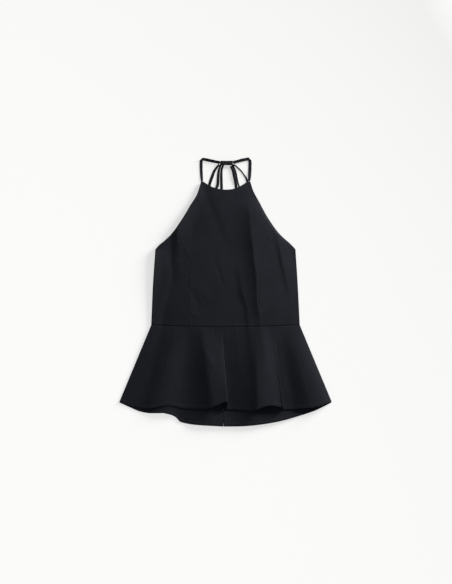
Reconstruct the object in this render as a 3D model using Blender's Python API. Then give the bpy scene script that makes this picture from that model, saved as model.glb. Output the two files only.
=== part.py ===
"""Halter neck top with a peplum, laid flat: the back on the surface, the front over it, the ties in a bow.

+X is right, +Y is towards the neck and +Z is up. The back's underside and the ties lie on Z = 0.
Sizes are in millimetres, and MM turns them into Blender's metres.
"""

import math
from collections import namedtuple
from functools import cache

import bmesh
import bpy
import numpy as np

MM = 0.001

WALL = 1.2  # thickness of the cloth
GAP = 0.3  # clearance between pieces, at seams and between layers
LYING = WALL  # top of a layer that lies on the surface
OVER = 2 * WALL + GAP  # top of a layer that lies on that one

WAIST_HALF = 196.4
WAIST_Y = -88.8  # at the side seams
WAIST_DIP = 5.0  # how much lower the waist seam is at the centre
HEM_HALF = 280.0

CENTRE_BACK_X = -3.0
BACK_TOP_DIP = 12.0  # how much lower the back's top edge is at the centre

Point = namedtuple("Point", "x y")
Level = namedtuple("Level", "y edge_left rise_left reach_left edge_right rise_right reach_right dome")
Mark = namedtuple("Mark", "x y share")
Crease = namedtuple("Crease", "path height left right steep_left steep_right blunt")
Flute = namedtuple("Flute", "waist_x hem_x height lift late", defaults=(1.0,))
Split = namedtuple("Split", "y x width")
Station = namedtuple("Station", "x y z width roll")

# Armhole edges from the neck corner down to the princess seam, and on from there to the underarm.
ARMHOLE_UPPER = {
    "left": [Point(-65, 291.4), Point(-76, 257), Point(-94, 227), Point(-112, 196), Point(-131, 167)],
    "right": [Point(65.6, 292.6), Point(74.5, 266), Point(89.5, 238), Point(110.5, 199), Point(131, 168)],
}
ARMHOLE_LOWER = {
    "left": [Point(-131, 167), Point(-146, 149), Point(-161.5, 134), Point(-176, 122), Point(-185.6, 111)],
    "right": [Point(131, 168), Point(142, 154.5), Point(154.5, 142), Point(172.5, 126), Point(185.6, 112)],
}
# Princess seams from the armhole to the waist seam.
PRINCESS = {
    "left": [Point(-131, 167), Point(-111.8, 114.5), Point(-96, 75), Point(-96.5, 22), Point(-99, -30), Point(-99, -92)],
    "right": [Point(131, 168), Point(112, 142), Point(101.5, 110), Point(94.5, 70), Point(89, 22), Point(87, -92)],
}
# Side seams of the bodice from the underarm to the waist seam.
SIDE = {
    "left": [Point(-185.6, 111), Point(-192, 15), Point(-WAIST_HALF, WAIST_Y)],
    "right": [Point(185.6, 112), Point(191.5, 15), Point(WAIST_HALF, WAIST_Y)],
}
NECKLINE = [
    Point(-58.6, 291.6),
    Point(-51, 286.6),
    Point(-43, 281.8),
    Point(-33, 276.8),
    Point(-18, 272.4),
    Point(0, 270.4),
    Point(18, 271.8),
    Point(32, 276.4),
    Point(43, 282),
    Point(52, 287.8),
    Point(59.6, 292.6),
]
FRONT_HEM = [
    Point(-HEM_HALF, -291.2),
    Point(-262, -298.6),
    Point(-240, -304.6),
    Point(-217, -308),
    Point(-187, -309),
    Point(-60, -309.5),
    Point(20, -311.5),
    Point(55, -313.8),
    Point(90, -313),
    Point(170, -310.4),
    Point(216, -307.4),
    Point(245, -302.6),
    Point(HEM_HALF, -290.6),
]
BACK_HEM = [
    Point(-HEM_HALF, -293.5),
    Point(-251, -306.4),
    Point(-226, -317),
    Point(-180, -331),
    Point(-118, -345.4),
    Point(-80, -351.6),
    Point(-2, -356.2),
    Point(42, -355.6),
    Point(80, -352.6),
    Point(118, -347.4),
    Point(160, -338.4),
    Point(226, -318.4),
    Point(254, -306.2),
    Point(HEM_HALF, -293),
]

# The laid front, from the waist up: for each side the height of its edge, how much it rises inside that and how far
# in, and then the dome over its whole width.
LEVELS = [
    Level(-94, 4.2, -1.2, 24, OVER, 1.0, 26, 4.2),
    Level(-40, 5.0, -1.8, 24, OVER, 1.4, 28, 3.2),
    Level(10, 6.4, -3.4, 28, OVER, 2.0, 32, 2.2),
    Level(60, 8.8, -5.8, 34, OVER, 1.6, 38, 2.0),
    Level(111, 10.4, -7.4, 38, OVER, 0.8, 40, 1.8),
    Level(140, 8.4, -6.0, 40, 2.2, 1.1, 34, 2.2),
    Level(200, 8.0, -5.2, 42, 2.4, 2.2, 32, 2.5),
    Level(236, 8.2, -5.0, 38, 2.6, 1.6, 28, 2.8),
    Level(262, 7.8, -4.6, 32, 3.0, 0.9, 24, 2.6),
    Level(293, 4.4, -2.0, 22, 3.4, 0.4, 16, 1.2),
]
LEVEL_BLEND = 18.0  # how far up and down the levels run into each other
LOWEST = [(108, OVER), (145, LYING + GAP)]  # y and the least height: over the back, and over the surface
LOW_EASE = 0.3  # how softly the cloth comes down to its least height
INSIDE_FADE = 9.0  # width along the edges in which the creases fade out, except those of EDGE_CREASES
# Creases from the neck down, each through its marks with the share of its height there. It is a ridge, or a trough
# if the height is negative. left and right are how far its flanks reach, the steeps how much of their fall is close
# to the crest, and blunt is how round the crest is.
EDGE_CREASES = [
    Crease(  # the cloth stands up along the left armhole
        path=(
            Mark(-100, 232, 0),
            Mark(-112, 205, 0.6),
            Mark(-122, 182, 1),
            Mark(-127, 162, 1.1),
            Mark(-127, 138, 0.9),
            Mark(-127, 112, 0.45),
            Mark(-127, 84, 0),
        ),
        height=4.4,
        left=34,
        right=44,
        steep_left=1.15,
        steep_right=1.15,
        blunt=2.0,
    ),
]
CREASES = [
    Crease(  # the long fold right of the middle
        path=(
            Mark(59, 246, 0),
            Mark(62, 216, 0.45),
            Mark(65, 189, 0.62),
            Mark(67, 163, 0.8),
            Mark(69.7, 136, 0.95),
            Mark(73.4, 110, 1.05),
            Mark(79.5, 57, 1.05),
            Mark(82.2, 4, 1),
            Mark(83.5, -22, 1),
            Mark(87, -49, 0.9),
            Mark(89.6, -70, 0.65),
            Mark(91, -94, 0.45),
        ),
        height=6.5,
        left=62,
        right=105,
        steep_left=3.0,
        steep_right=1.15,
        blunt=1.6,
    ),
    Crease(  # the one beside it, above the waist
        path=(Mark(30, 78, 0), Mark(41, 25, 0.8), Mark(43, 4, 1), Mark(51, -22, 1), Mark(57, -42, 1), Mark(62, -94, 0.7)),
        height=1.8,
        left=15,
        right=34,
        steep_left=1.8,
        steep_right=1.0,
        blunt=2.0,
    ),
    Crease(  # from the left neck corner inwards
        path=(Mark(-60, 280, 0.5), Mark(-49, 253, 1), Mark(-25, 189, 1), Mark(-5, 136, 0.7), Mark(17, 78, 0)),
        height=-0.9,
        left=26,
        right=20,
        steep_left=1.5,
        steep_right=1.5,
        blunt=3.4,
    ),
    Crease(  # under the left princess seam's start
        path=(Mark(-139, 140, 0), Mark(-142, 104, 0.8), Mark(-144, 83, 0.9), Mark(-139, 30, 0.5), Mark(-140, 4, 0)),
        height=-2.4,
        left=20,
        right=22,
        steep_left=1.5,
        steep_right=1.8,
        blunt=1.8,
    ),
    Crease(  # and on from there to the waist
        path=(Mark(-141, 44, 0), Mark(-147, 4, 0.5), Mark(-155, -30, 0.7), Mark(-162, -60, 0.9), Mark(-165, -94, 1)),
        height=-2.4,
        left=20,
        right=60,
        steep_left=1.3,
        steep_right=1.7,
        blunt=2.0,
    ),
    Crease(  # under the right princess seam's start
        path=(Mark(134, 160, 0.2), Mark(144.4, 110, 0.85), Mark(148.4, 83, 1), Mark(160, 30, 0.6), Mark(168, -36, 0)),
        height=2.0,
        left=12,
        right=36,
        steep_left=1.6,
        steep_right=1.2,
        blunt=1.6,
    ),
]
# Section of the front peplum at the hem, from left to right: where its line starts at the waist and where it meets
# the hem, its height there, how far it lifts the hem, and how late the height comes on the way down.
FLUTES = [
    Flute(-196.4, -280, 0, 0),
    Flute(-166, -234.5, 0.4, 0),
    Flute(-156, -221, 1.1, 0),
    Flute(-146, -208, 3.2, 0),
    Flute(-137, -195, 5.6, 1),
    Flute(-129, -181.5, 7, 3.5),
    Flute(-121, -168, 6.9, 6.5),
    Flute(-114, -155, 5.6, 8.4),
    Flute(-108, -142, 3.7, 7.5),
    Flute(-102.5, -128.5, 2, 4.5),
    Flute(-98, -115, 0.9, 1),
    Flute(-94, -103, 0.9, 0),
    Flute(-89.5, -92, 1.8, 0),
    Flute(-84.5, -80, 3.3, 0),
    Flute(-79.5, -68, 5.6, 0),
    Flute(-74.5, -56.5, 8.3, 0.5),
    Flute(-69.5, -45, 11.4, 2),
    Flute(-65, -34, 14.1, 4.5),
    Flute(-60, -25, 15.5, 9.5),
    Flute(-34, -8, 16, 18),
    Flute(-16.5, 0.5, 15.8, 19),
    Flute(-13, 5, 9, 11),
    Flute(-9.5, 9.5, 2, 1),
    Flute(-4, 15, 0.6, 0),
    Flute(8, 24, 0.9, 0),
    Flute(22, 34, 2, 0),
    Flute(35, 44, 3.5, 0),
    Flute(48, 54, 5.4, 0),
    Flute(58, 63, 8.2, 0),
    Flute(66, 70, 11, 0.5),
    Flute(73, 76.5, 13.8, 1.5),
    Flute(79, 83, 15.5, 3.5),
    Flute(86, 90, 16, 6),
    Flute(94, 99, 15.8, 9),
    Flute(104, 114, 14.6, 12, 1.1),
    Flute(113, 129, 12.8, 11, 1.5),
    Flute(121, 143, 11.3, 7, 2.1),
    Flute(123.5, 148, 10.5, 4, 2.5),
    Flute(126.2, 152.4, 6, 1.5, 2.3),
    Flute(129, 157, 1.8, 0, 1.6),
    Flute(134, 163.5, 0.8, 0),
    Flute(142, 176, 0.9, 0),
    Flute(148, 188, 2.4, 0),
    Flute(154, 201, 5, 0),
    Flute(160, 214, 7.6, 0),
    Flute(167, 227, 9.3, 0),
    Flute(174, 240, 9.6, 0),
    Flute(182, 253, 8.7, 0),
    Flute(189, 265, 6.3, 0),
    Flute(193.5, 274, 3, 0),
    Flute(196.4, 280, 0.4, 0),
]
# The same for the back peplum: low swells under the front's flutes, and one that lifts its left hem.
RIPPLES = [
    Flute(-196.4, -280, 0, 0),
    Flute(-165, -232, 0.4, 0),
    Flute(-148, -205, 2.2, 3),
    Flute(-136, -187, 4.6, 8),
    Flute(-126, -172, 5.8, 12),
    Flute(-118, -162, 5.7, 14.5),
    Flute(-112, -150, 4.5, 14.5),
    Flute(-107, -141, 3.0, 13.8),
    Flute(-102, -132, 1.6, 11),
    Flute(-99, -126, 1.0, 6.5),
    Flute(-96, -120, 0.5, 1),
    Flute(-93, -108, 0.4, 0),
    Flute(-88, -90, 1.2, 0),
    Flute(-82, -75, 3.2, 0),
    Flute(-76, -61, 5.6, 0),
    Flute(-69, -49, 6.6, 0),
    Flute(-58, -37, 5, 0),
    Flute(-40, -22, 2, 0),
    Flute(-18, -6, 0, 0),
    Flute(2, 12, 0, 0),
    Flute(20, 30, 0.9, 0),
    Flute(40, 46, 3.2, 0),
    Flute(54, 59, 5.6, 0),
    Flute(64, 70, 6.4, 0),
    Flute(77, 83, 4.6, 0),
    Flute(90, 98, 1.6, 0),
    Flute(104, 118, 0.3, 0),
    Flute(130, 156, 0, 0),
    Flute(196.4, 280, 0, 0),
]
# How the flutes grow from the waist: where they start, and how quickly they come.
FRONT_GROWTH = (0.0, 0.92)
BACK_GROWTH = (0.3, 1.4)
# Past the front's hem the back's stands off the surface: how high, over what length, and how much of the swells
# it gives up. It comes in from the left and from the right, each from an x and over a width.
HEM_LIFT = 3.0
HEM_LIFT_REACH = 44.0
HEM_SETTLE = 0.75
HEM_LIFT_LEFT = (-112, 30)
HEM_LIFT_RIGHT = (245, 60)
# The slit between the back peplum's halves, from the waist seam to the hem.
SLIT = [
    Split(-80, CENTRE_BACK_X, GAP),
    Split(-255, -4.6, GAP),
    Split(-284, -5.0, GAP),
    Split(-312, -5.3, GAP),
    Split(-346, -5.3, GAP),
    Split(-352, -5.3, 0.6),
    Split(-360, -5.3, 2.6),
]

PANEL_LOWER_CELLS = 19  # rows of cells from the waist seam to the princess seams' tops
PANEL_UPPER_CELLS = 12  # from there to the neckline
CENTRE_CELLS = 28
SIDE_CELLS = 11
PEPLUM_CELLS = (100, 11)
BACK_CELLS = (12, 8)
BACK_PEPLUM_CELLS = (28, 12)

TIE_THICK = 1.4  # a folded strip of cloth
TIE_EDGE = 0.5  # how far its section tapers at each edge
TIE_SPACING = 9.0  # between the stations of its solid
TIE_REST = TIE_THICK / 2  # height of its middle where it lies on the surface
TIE_OVER = TIE_REST + TIE_THICK + GAP  # where it lies on another
TIE_TOP = TIE_OVER + TIE_THICK + GAP
BEND = (TIE_THICK + GAP) / 2  # radius of the middle of a strip that is folded back on itself
BEND_STEPS = 7

KNOT_CENTRE = (2.6, 341.4, 4.8)
KNOT_HALF = (16.6, 5.6, 3.0)
KNOT_BLUNT = 0.45  # 1 is an ellipsoid, and less is squarer

# Each tie from its seam or knot to its fold, and from the fold on. The fold's crease halves the angle.
STRAPS = {
    "strap_left": (
        [
            Station(-62.6, 292.6, TIE_REST + 0.2, 5.2, 0),
            Station(-63.8, 307, TIE_REST, 7.4, 0),
            Station(-64.6, 322, TIE_REST, 8.0, 0),
            Station(-65, 338, TIE_REST, 8.0, 0),
            Station(-65, 350.2, TIE_REST, 8.0, 0),
        ],
        [
            Station(-56, 351.4, TIE_OVER, 8.1, 6),
            Station(-46, 349.2, 3.3, 8.2, 14),
            Station(-34, 346.5, 3.5, 8.2, 18),
            Station(-24, 344.5, 3.6, 8.0, 18),
            Station(-15.1, 343.0, 3.7, 7.8, 14),
        ],
    ),
    "strap_right": (
        [
            Station(62.4, 293.6, 2.9, 6.0, 0),
            Station(63.6, 303, 2.7, 7.8, 0),
            Station(64.6, 320, TIE_REST, 8.8, 0),
            Station(65.2, 338, TIE_REST, 8.8, 0),
            Station(65.3, 350.6, TIE_REST, 8.8, 0),
        ],
        [
            Station(56, 351.8, TIE_OVER, 8.1, -6),
            Station(46, 349.9, 3.3, 8.2, -14),
            Station(36, 347.2, 3.5, 8.2, -18),
            Station(28, 345.0, 3.6, 8.0, -18),
            Station(20.6, 343.2, 3.7, 7.8, -14),
        ],
    ),
}
LOOPS = {
    "bow_loop_left": (
        [
            Station(-17.0, 337.2, TIE_OVER, 5.2, 0),
            Station(-22.2, 331.4, TIE_REST + 0.6, 6.0, 0),
            Station(-30.2, 319.6, TIE_REST, 7.2, 0),
            Station(-36, 304, TIE_REST, 8.2, 0),
            Station(-42, 286, TIE_REST, 8.2, 0),
            Station(-43.8, 264, TIE_REST, 7.6, 0),
            Station(-40.5, 243, TIE_REST, 7.0, 0),
        ],
        [
            Station(-32.4, 262, TIE_OVER, 7.0, 0),
            Station(-21.6, 281, TIE_OVER - 0.6, 7.6, 0),
            Station(-19.8, 302.6, TIE_REST, 7.2, 0),
            Station(-18.4, 319, TIE_REST, 6.4, 0),
            Station(-15.6, 329.4, TIE_REST, 5.6, 0),
            Station(-12.2, 338, TIE_REST, 5.0, 0),
        ],
    ),
    "bow_loop_right": (
        [
            Station(21.6, 337.0, TIE_TOP, 4.4, 0),
            Station(26.0, 334.4, TIE_TOP - 0.8, 4.4, 0),
            Station(32.2, 329.4, TIE_REST + 0.6, 4.2, 0),
            Station(41.4, 321.0, TIE_REST, 4.2, 0),
            Station(49.0, 310.6, TIE_REST, 4.4, 0),
            Station(56.6, 297, TIE_REST, 5.6, 0),
            Station(59.6, 279, TIE_REST, 7.0, 0),
            Station(53, 244, TIE_REST, 7.0, 0),
        ],
        [
            Station(42, 262, TIE_OVER, 5.8, 0),
            Station(34.6, 283, TIE_OVER - 0.6, 4.6, 0),
            Station(30.6, 301, TIE_REST, 4.4, 0),
            Station(27.2, 317, TIE_REST, 4.8, 0),
            Station(22.6, 328.4, TIE_REST, 5.2, 0),
            Station(18.6, 338, TIE_REST, 5.2, 0),
        ],
    ),
}
TAILS = {
    "tie_tail_left": [
        Station(-5.6, 338, TIE_REST, 5.0, 0),
        Station(-8.5, 330.6, TIE_REST, 5.4, 0),
        Station(-10.7, 321, TIE_REST, 6.2, 0),
        Station(-11.2, 302.6, TIE_REST, 7.2, 0),
        Station(-10.6, 272.7, TIE_REST, 7.4, 0),
        Station(-11.4, 230, TIE_REST, 7.0, 0),
        Station(-17, 190, TIE_REST, 6.8, 0),
        Station(-14, 160, TIE_REST, 6.8, 0),
    ],
    "tie_tail_right": [
        Station(14.2, 333.8, TIE_OVER, 7.0, 0),
        Station(15.8, 330.6, TIE_OVER, 7.6, 0),
        Station(20.0, 322, TIE_OVER, 8.0, 0),
        Station(22.6, 308.7, TIE_OVER, 8.0, 0),
        Station(26, 293, TIE_OVER - 0.6, 8.0, 0),
        Station(28, 274, TIE_REST, 7.4, 0),
        Station(25, 230, TIE_REST, 6.8, 0),
        Station(32, 190, TIE_REST, 6.8, 0),
        Station(30, 152, TIE_REST, 6.8, 0),
    ],
}

FRONT_COLOUR = (0.0168, 0.0172, 0.0204, 1)
BACK_COLOUR = (0.0140, 0.0144, 0.0172, 1)
TIE_COLOUR = (0.0126, 0.0130, 0.0152, 1)
CLOTH_ROUGHNESS = 0.82


# Curves


def smooth_line(stations, count=None, spacing=None):
    """Rows evenly spaced on a smooth curve through the stations. Columns after the place ride along."""
    rows = np.array(stations, float)
    if len(rows) == 2:
        rows = np.vstack([rows[0], rows.mean(axis=0), rows[1]])
    rows = np.vstack([2 * rows[0] - rows[1], rows, 2 * rows[-1] - rows[-2]])
    steps = np.linspace(0, 1, 24, endpoint=False)[:, None]
    dense = []
    for a, b, c, d in zip(rows, rows[1:], rows[2:], rows[3:]):
        curve = b + 0.5 * steps * (c - a)
        curve = curve + steps**2 * (a - 2.5 * b + 2 * c - 0.5 * d)
        dense.append(curve + steps**3 * (1.5 * b - 0.5 * a - 1.5 * c + 0.5 * d))
    dense = np.vstack([*dense, rows[-2]])
    travelled = lengths_along(dense)
    count = count or max(3, round(travelled[-1] / spacing) + 1)
    return at_lengths(dense, np.linspace(0, travelled[-1], count))


def lengths_along(line):
    """Length of the line, measured in its first two columns, up to each of its rows."""
    steps = np.linalg.norm(np.diff(line[:, :2], axis=0), axis=1)
    return np.concatenate([[0], np.cumsum(steps)])


def at_lengths(line, wanted):
    travelled = lengths_along(line)
    return np.column_stack([np.interp(wanted, travelled, column) for column in line.T])


def beside(line, distance):
    """The line moved sideways, to the left of its direction."""
    along = np.gradient(line, axis=0)
    along /= np.linalg.norm(along, axis=1)[:, None]
    return line + distance * np.column_stack([-along[:, 1], along[:, 0]])


def waist_y(x):
    return WAIST_Y - WAIST_DIP * (1 - (x / WAIST_HALF) ** 2)


def smooth_step(value):
    value = min(max(value, 0), 1)
    return value * value * (3 - 2 * value)


def quarter_sine(value):
    return math.sin(math.pi / 2 * min(max(value, 0), 1))


# Height of the laid front


def edge_x(side, y):
    """Where the front's outer edge is at this height of the body."""
    edge = [*reversed(SIDE[side]), *reversed(ARMHOLE_LOWER[side][:-1]), *reversed(ARMHOLE_UPPER[side][:-1])]
    return np.interp(y, [p.y for p in edge], [p.x for p in edge])


def level_at(y):
    table = np.array(LEVELS)
    around = y + np.linspace(-LEVEL_BLEND, LEVEL_BLEND, 7)
    return Level(y, *(np.interp(around, table[:, 0], column).mean() for column in table.T[1:]))


def flank(distance, reach, blunt, steep):
    """1 on the crest of a crease, sloping away to 0 at its reach."""
    e = blunt / reach
    q = (math.hypot(distance / reach, e) - e) / (math.hypot(1, e) - e)
    return max(1 - q, 0) ** steep


@cache
def crease_line(path):
    return smooth_line(path, spacing=6.0)


def crease_height(x, y, creases):
    total = 0.0
    for crease in creases:
        line = crease_line(crease.path)
        starts, steps = line[:-1], np.diff(line, axis=0)
        away = np.array([x, y]) - starts[:, :2]
        t = np.clip((away * steps[:, :2]).sum(axis=1) / (steps[:, :2] ** 2).sum(axis=1), 0, 1)
        away -= t[:, None] * steps[:, :2]
        distances = np.hypot(away[:, 0], away[:, 1])
        k = int(distances.argmin())
        share = max(starts[k, 2] + t[k] * steps[k, 2], 0)
        if steps[k, 0] * away[k, 1] < steps[k, 1] * away[k, 0]:
            total += crease.height * share * flank(distances[k], crease.left, crease.blunt, crease.steep_left)
        else:
            total += crease.height * share * flank(distances[k], crease.right, crease.blunt, crease.steep_right)
    return total


def eased_above(height, low):
    """The height, but easing on to low instead of going under it."""
    return low + 0.5 * (height - low + math.sqrt((height - low) ** 2 + LOW_EASE))


def front_height(x, y):
    """Top of the front cloth above the surface, from the waist seam to the neckline."""
    left, right, level = edge_x("left", y), edge_x("right", y), level_at(y)
    across = min(max((x - left) / (right - left), 0), 1)
    height = level.edge_left + (level.edge_right - level.edge_left) * smooth_step(across)
    height += level.dome * (1 - (2 * across - 1) ** 2)
    height += level.rise_left * quarter_sine((x - left) / level.reach_left) * (1 - smooth_step(across))
    height += level.rise_right * quarter_sine((right - x) / level.reach_right)
    height += crease_height(x, y, EDGE_CREASES)
    height += crease_height(x, y, CREASES) * smooth_step(min(x - left, right - x) / INSIDE_FADE)
    return eased_above(height, np.interp(y, *np.array(LOWEST).T))


def back_height(x, y):
    """Top of the back cloth. It lies on the surface, and rises with the front along the left side seam."""
    level = level_at(y)
    inside = (x - edge_x("left", y)) / level.reach_left
    return LYING + max(level.edge_left - OVER - GAP, 0) * (1 - quarter_sine(inside))


# Panels


def panel(name, low, high, left, right, place, colour):
    """A cloth wall on the net between four edges. place gives each net point its final x, y and top height."""
    mesh = bmesh.new()
    bmesh.ops.create_grid(mesh, x_segments=len(low) - 1, y_segments=len(left) - 1, size=0.5)
    for vert in mesh.verts:
        u, v = vert.co.x + 0.5, vert.co.y + 0.5
        i, j = round(u * (len(low) - 1)), round(v * (len(left) - 1))
        corners = (1 - u) * ((1 - v) * low[0] + v * high[0]) + u * ((1 - v) * low[-1] + v * high[-1])
        x, y = (1 - v) * low[i] + v * high[i] + (1 - u) * left[j] + u * right[j] - corners
        vert.co = [value * MM for value in place(x, y, v)]
    obj = add_object(name, mesh, colour)
    wall = obj.modifiers.new("wall", "SOLIDIFY")
    wall.thickness = WALL * MM
    wall.offset = -1
    wall.use_even_offset = True
    return obj


def on_front(x, y, _):
    return x, y, front_height(x, y)


def on_back(x, y, _):
    return x, y, back_height(x, y)


def seam_edge(side, seam, sideways):
    """A princess seam's edge of one panel, from the waist up, with its end set on the waist seam's gap."""
    line = beside(smooth_line(seam[side], PANEL_LOWER_CELLS + 1), sideways)[::-1]
    line[0, 1] = waist_y(line[0, 0]) + GAP / 2
    return line


def waist_edge(x_from, x_to, count, shift):
    return np.array([(x, waist_y(x) + shift) for x in np.linspace(x_from, x_to, count)])


def centre_front():
    edges = {}
    for side, sideways in (("left", GAP / 2), ("right", -GAP / 2)):
        lower = seam_edge(side, PRINCESS, sideways)
        upper = smooth_line([Point(*lower[-1]), *reversed(ARMHOLE_UPPER[side][:-1])], PANEL_UPPER_CELLS + 1)
        edges[side] = np.vstack([lower, upper[1:]])
    neckline = smooth_line(NECKLINE, CENTRE_CELLS - 1)
    high = np.vstack([edges["left"][-1], neckline, edges["right"][-1]])
    low = waist_edge(edges["left"][0, 0], edges["right"][0, 0], CENTRE_CELLS + 1, GAP / 2)
    panel("bodice_front_center", low, high, edges["left"], edges["right"], on_front, FRONT_COLOUR)


def side_front(side):
    sideways = -GAP / 2 if side == "left" else GAP / 2
    inner = seam_edge(side, PRINCESS, sideways)
    outer = seam_edge(side, SIDE, 0)
    high = smooth_line([Point(*inner[-1]), *ARMHOLE_LOWER[side][1:]], SIDE_CELLS + 1)
    left, right = (outer, inner) if side == "left" else (inner, outer)
    high = high[::-1] if side == "left" else high
    low = waist_edge(left[0, 0], right[0, 0], SIDE_CELLS + 1, GAP / 2)
    panel(f"bodice_front_side_{side}", low, high, left, right, on_front, FRONT_COLOUR)


def through_points(x, xs, ys):
    """A curve through the points that never swings past them."""
    steps, slopes = np.diff(xs), np.diff(ys) / np.diff(xs)
    tangents = np.zeros(len(xs))
    for k in range(1, len(xs) - 1):
        if slopes[k - 1] * slopes[k] > 0:
            tangents[k] = 2 * slopes[k - 1] * slopes[k] / (slopes[k - 1] + slopes[k])
    k = min(max(int(np.searchsorted(xs, x)) - 1, 0), len(xs) - 2)
    t = min(max((x - xs[k]) / steps[k], 0), 1)
    value = (1 + 2 * t) * (1 - t) ** 2 * ys[k] + t * (1 - t) ** 2 * steps[k] * tangents[k]
    return value + t * t * (3 - 2 * t) * ys[k + 1] - t * t * (1 - t) * steps[k] * tangents[k + 1]


def flute_profile(flutes, growth, x, v):
    """Height and hem lift that the flutes give at this x, v of the way from the waist seam to the hem."""
    waist_x, hem_x, height, lift, late = np.array(flutes).T
    start, power = growth
    grown = quarter_sine((v - start) / (1 - start)) ** power
    xs = waist_x + (hem_x - waist_x) * v
    return through_points(x, xs, height * grown**late), through_points(x, xs, lift * v**3)


def on_front_peplum(x, y, up):
    """up runs from the hem to the waist seam, so that the net's normals point up."""
    v = 1 - up
    waist_x = x * WAIST_HALF / (WAIST_HALF + (HEM_HALF - WAIST_HALF) * v)
    height, lift = flute_profile(FLUTES, FRONT_GROWTH, x, v)
    carried = front_height(waist_x, waist_y(waist_x)) - OVER
    return x, y + lift, eased_above(OVER + carried * (1 - v) ** 2 + height, OVER)


def on_back_peplum(x, y, up):
    v = 1 - up
    waist_x = x * WAIST_HALF / (WAIST_HALF + (HEM_HALF - WAIST_HALF) * v)
    height, lift = flute_profile(RIPPLES, BACK_GROWTH, x, v)
    carried = back_height(waist_x, waist_y(waist_x)) - LYING
    beyond = smooth_step((np.interp(x, *np.array(FRONT_HEM).T) - y) / HEM_LIFT_REACH)
    beyond *= smooth_step((x - HEM_LIFT_LEFT[0]) / HEM_LIFT_LEFT[1])
    beyond *= smooth_step((HEM_LIFT_RIGHT[0] - x) / HEM_LIFT_RIGHT[1])
    return x, y + lift, LYING + carried * (1 - v) ** 2 + height * (1 - HEM_SETTLE * beyond) + HEM_LIFT * beyond


def front_peplum():
    across, along = PEPLUM_CELLS
    low = waist_edge(-WAIST_HALF, WAIST_HALF, across + 1, -GAP / 2)
    high = smooth_line(FRONT_HEM, across + 1)
    left, right = (smooth_line([low[end], high[end]], along + 1) for end in (0, -1))
    panel("peplum_front", high, low, left[::-1], right[::-1], on_front_peplum, FRONT_COLOUR)


def slit_edge(side, count):
    """The centre-back edge of one half, from the hem up to the waist seam."""
    sign = -1 if side == "left" else 1
    table = np.array(SLIT)[::-1]
    ys = np.linspace(np.array(BACK_HEM)[:, 1].min(), waist_y(CENTRE_BACK_X) - GAP / 2, count)
    xs = np.interp(ys, table[:, 0], table[:, 1]) + sign / 2 * np.interp(ys, table[:, 0], table[:, 2])
    return np.column_stack([xs, ys])


def back_peplum(side):
    across, along = BACK_PEPLUM_CELLS
    inner = slit_edge(side, along + 1)
    hem = [Point(*inner[0]), *(p for p in BACK_HEM if abs(p.x) > 30 and (p.x < 0) == (side == "left"))]
    hem = [hem[0], *(reversed(hem[1:]) if side == "left" else hem[1:])]
    high_end = Point(math.copysign(WAIST_HALF, hem[-1].x), WAIST_Y - GAP / 2)
    low = smooth_line(hem, across + 1)
    high = waist_edge(inner[-1, 0], high_end.x, across + 1, -GAP / 2)
    outer = smooth_line([low[-1], high[-1]], along + 1)
    left, right = inner, outer
    if side == "left":
        low, high, left, right = low[::-1], high[::-1], outer, inner
    panel(f"peplum_back_{side}", low, high, left, right, on_back_peplum, BACK_COLOUR)


def back_top_y(x):
    end = SIDE["left"][0]
    return end.y - BACK_TOP_DIP * (1 - (x / end.x) ** 2)


def back_bodice(side):
    across, along = BACK_CELLS
    sign = -1 if side == "left" else 1
    outer = smooth_line(SIDE[side], along + 1)[::-1]
    outer[0, 1] = waist_y(outer[0, 0]) + GAP / 2
    inner_x = CENTRE_BACK_X + sign * GAP / 2
    ends = [Point(inner_x, waist_y(inner_x) + GAP / 2), Point(inner_x, back_top_y(inner_x))]
    inner = smooth_line(ends, along + 1)
    left, right = (outer, inner) if side == "left" else (inner, outer)
    low = waist_edge(left[0, 0], right[0, 0], across + 1, GAP / 2)
    high = np.array([(x, back_top_y(x)) for x in np.linspace(left[-1, 0], right[-1, 0], across + 1)])
    high[0], high[-1] = left[-1], right[-1]
    panel(f"bodice_back_{side}", low, high, left, right, on_back, BACK_COLOUR)


# Ties


class StripFold:
    """A strip's fold back on itself about a crease, as a map from the unfolded strip to the folded one."""

    def __init__(self, before, after):
        before, after = np.array(before, float), np.array(after, float)
        arriving = before[-1, :2] - before[-2, :2]
        leaving = after[0, :2] - before[-1, :2]
        turn = arriving / np.linalg.norm(arriving) - leaving / np.linalg.norm(leaving)
        self.normal = turn / np.linalg.norm(turn)
        self.at = before[-1, :2]
        self.height = before[-1, 2]
        self.bend_length = math.pi * BEND

    def unfold(self, rows):
        """Stations beyond the fold, laid out straight on as they were before folding."""
        rows = np.array(rows, float)
        away = (rows[:, :2] - self.at) @ self.normal
        rows[:, :2] += np.outer(self.bend_length - 2 * away, self.normal)
        rows[:, 2] = 2 * (self.height + BEND) - rows[:, 2]
        return rows

    def fold(self, point):
        x, y, z = point
        past = float((np.array([x, y]) - self.at) @ self.normal)
        if past <= 0:
            return point
        if past < self.bend_length:
            turned = past / BEND
            out = (BEND - (z - self.height)) * math.sin(turned)
            z = self.height + BEND - (BEND - (z - self.height)) * math.cos(turned)
        else:
            out = self.bend_length - past
            z = 2 * (self.height + BEND) - z
        x, y = np.array([x, y]) + (out - past) * self.normal
        return x, y, z


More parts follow.
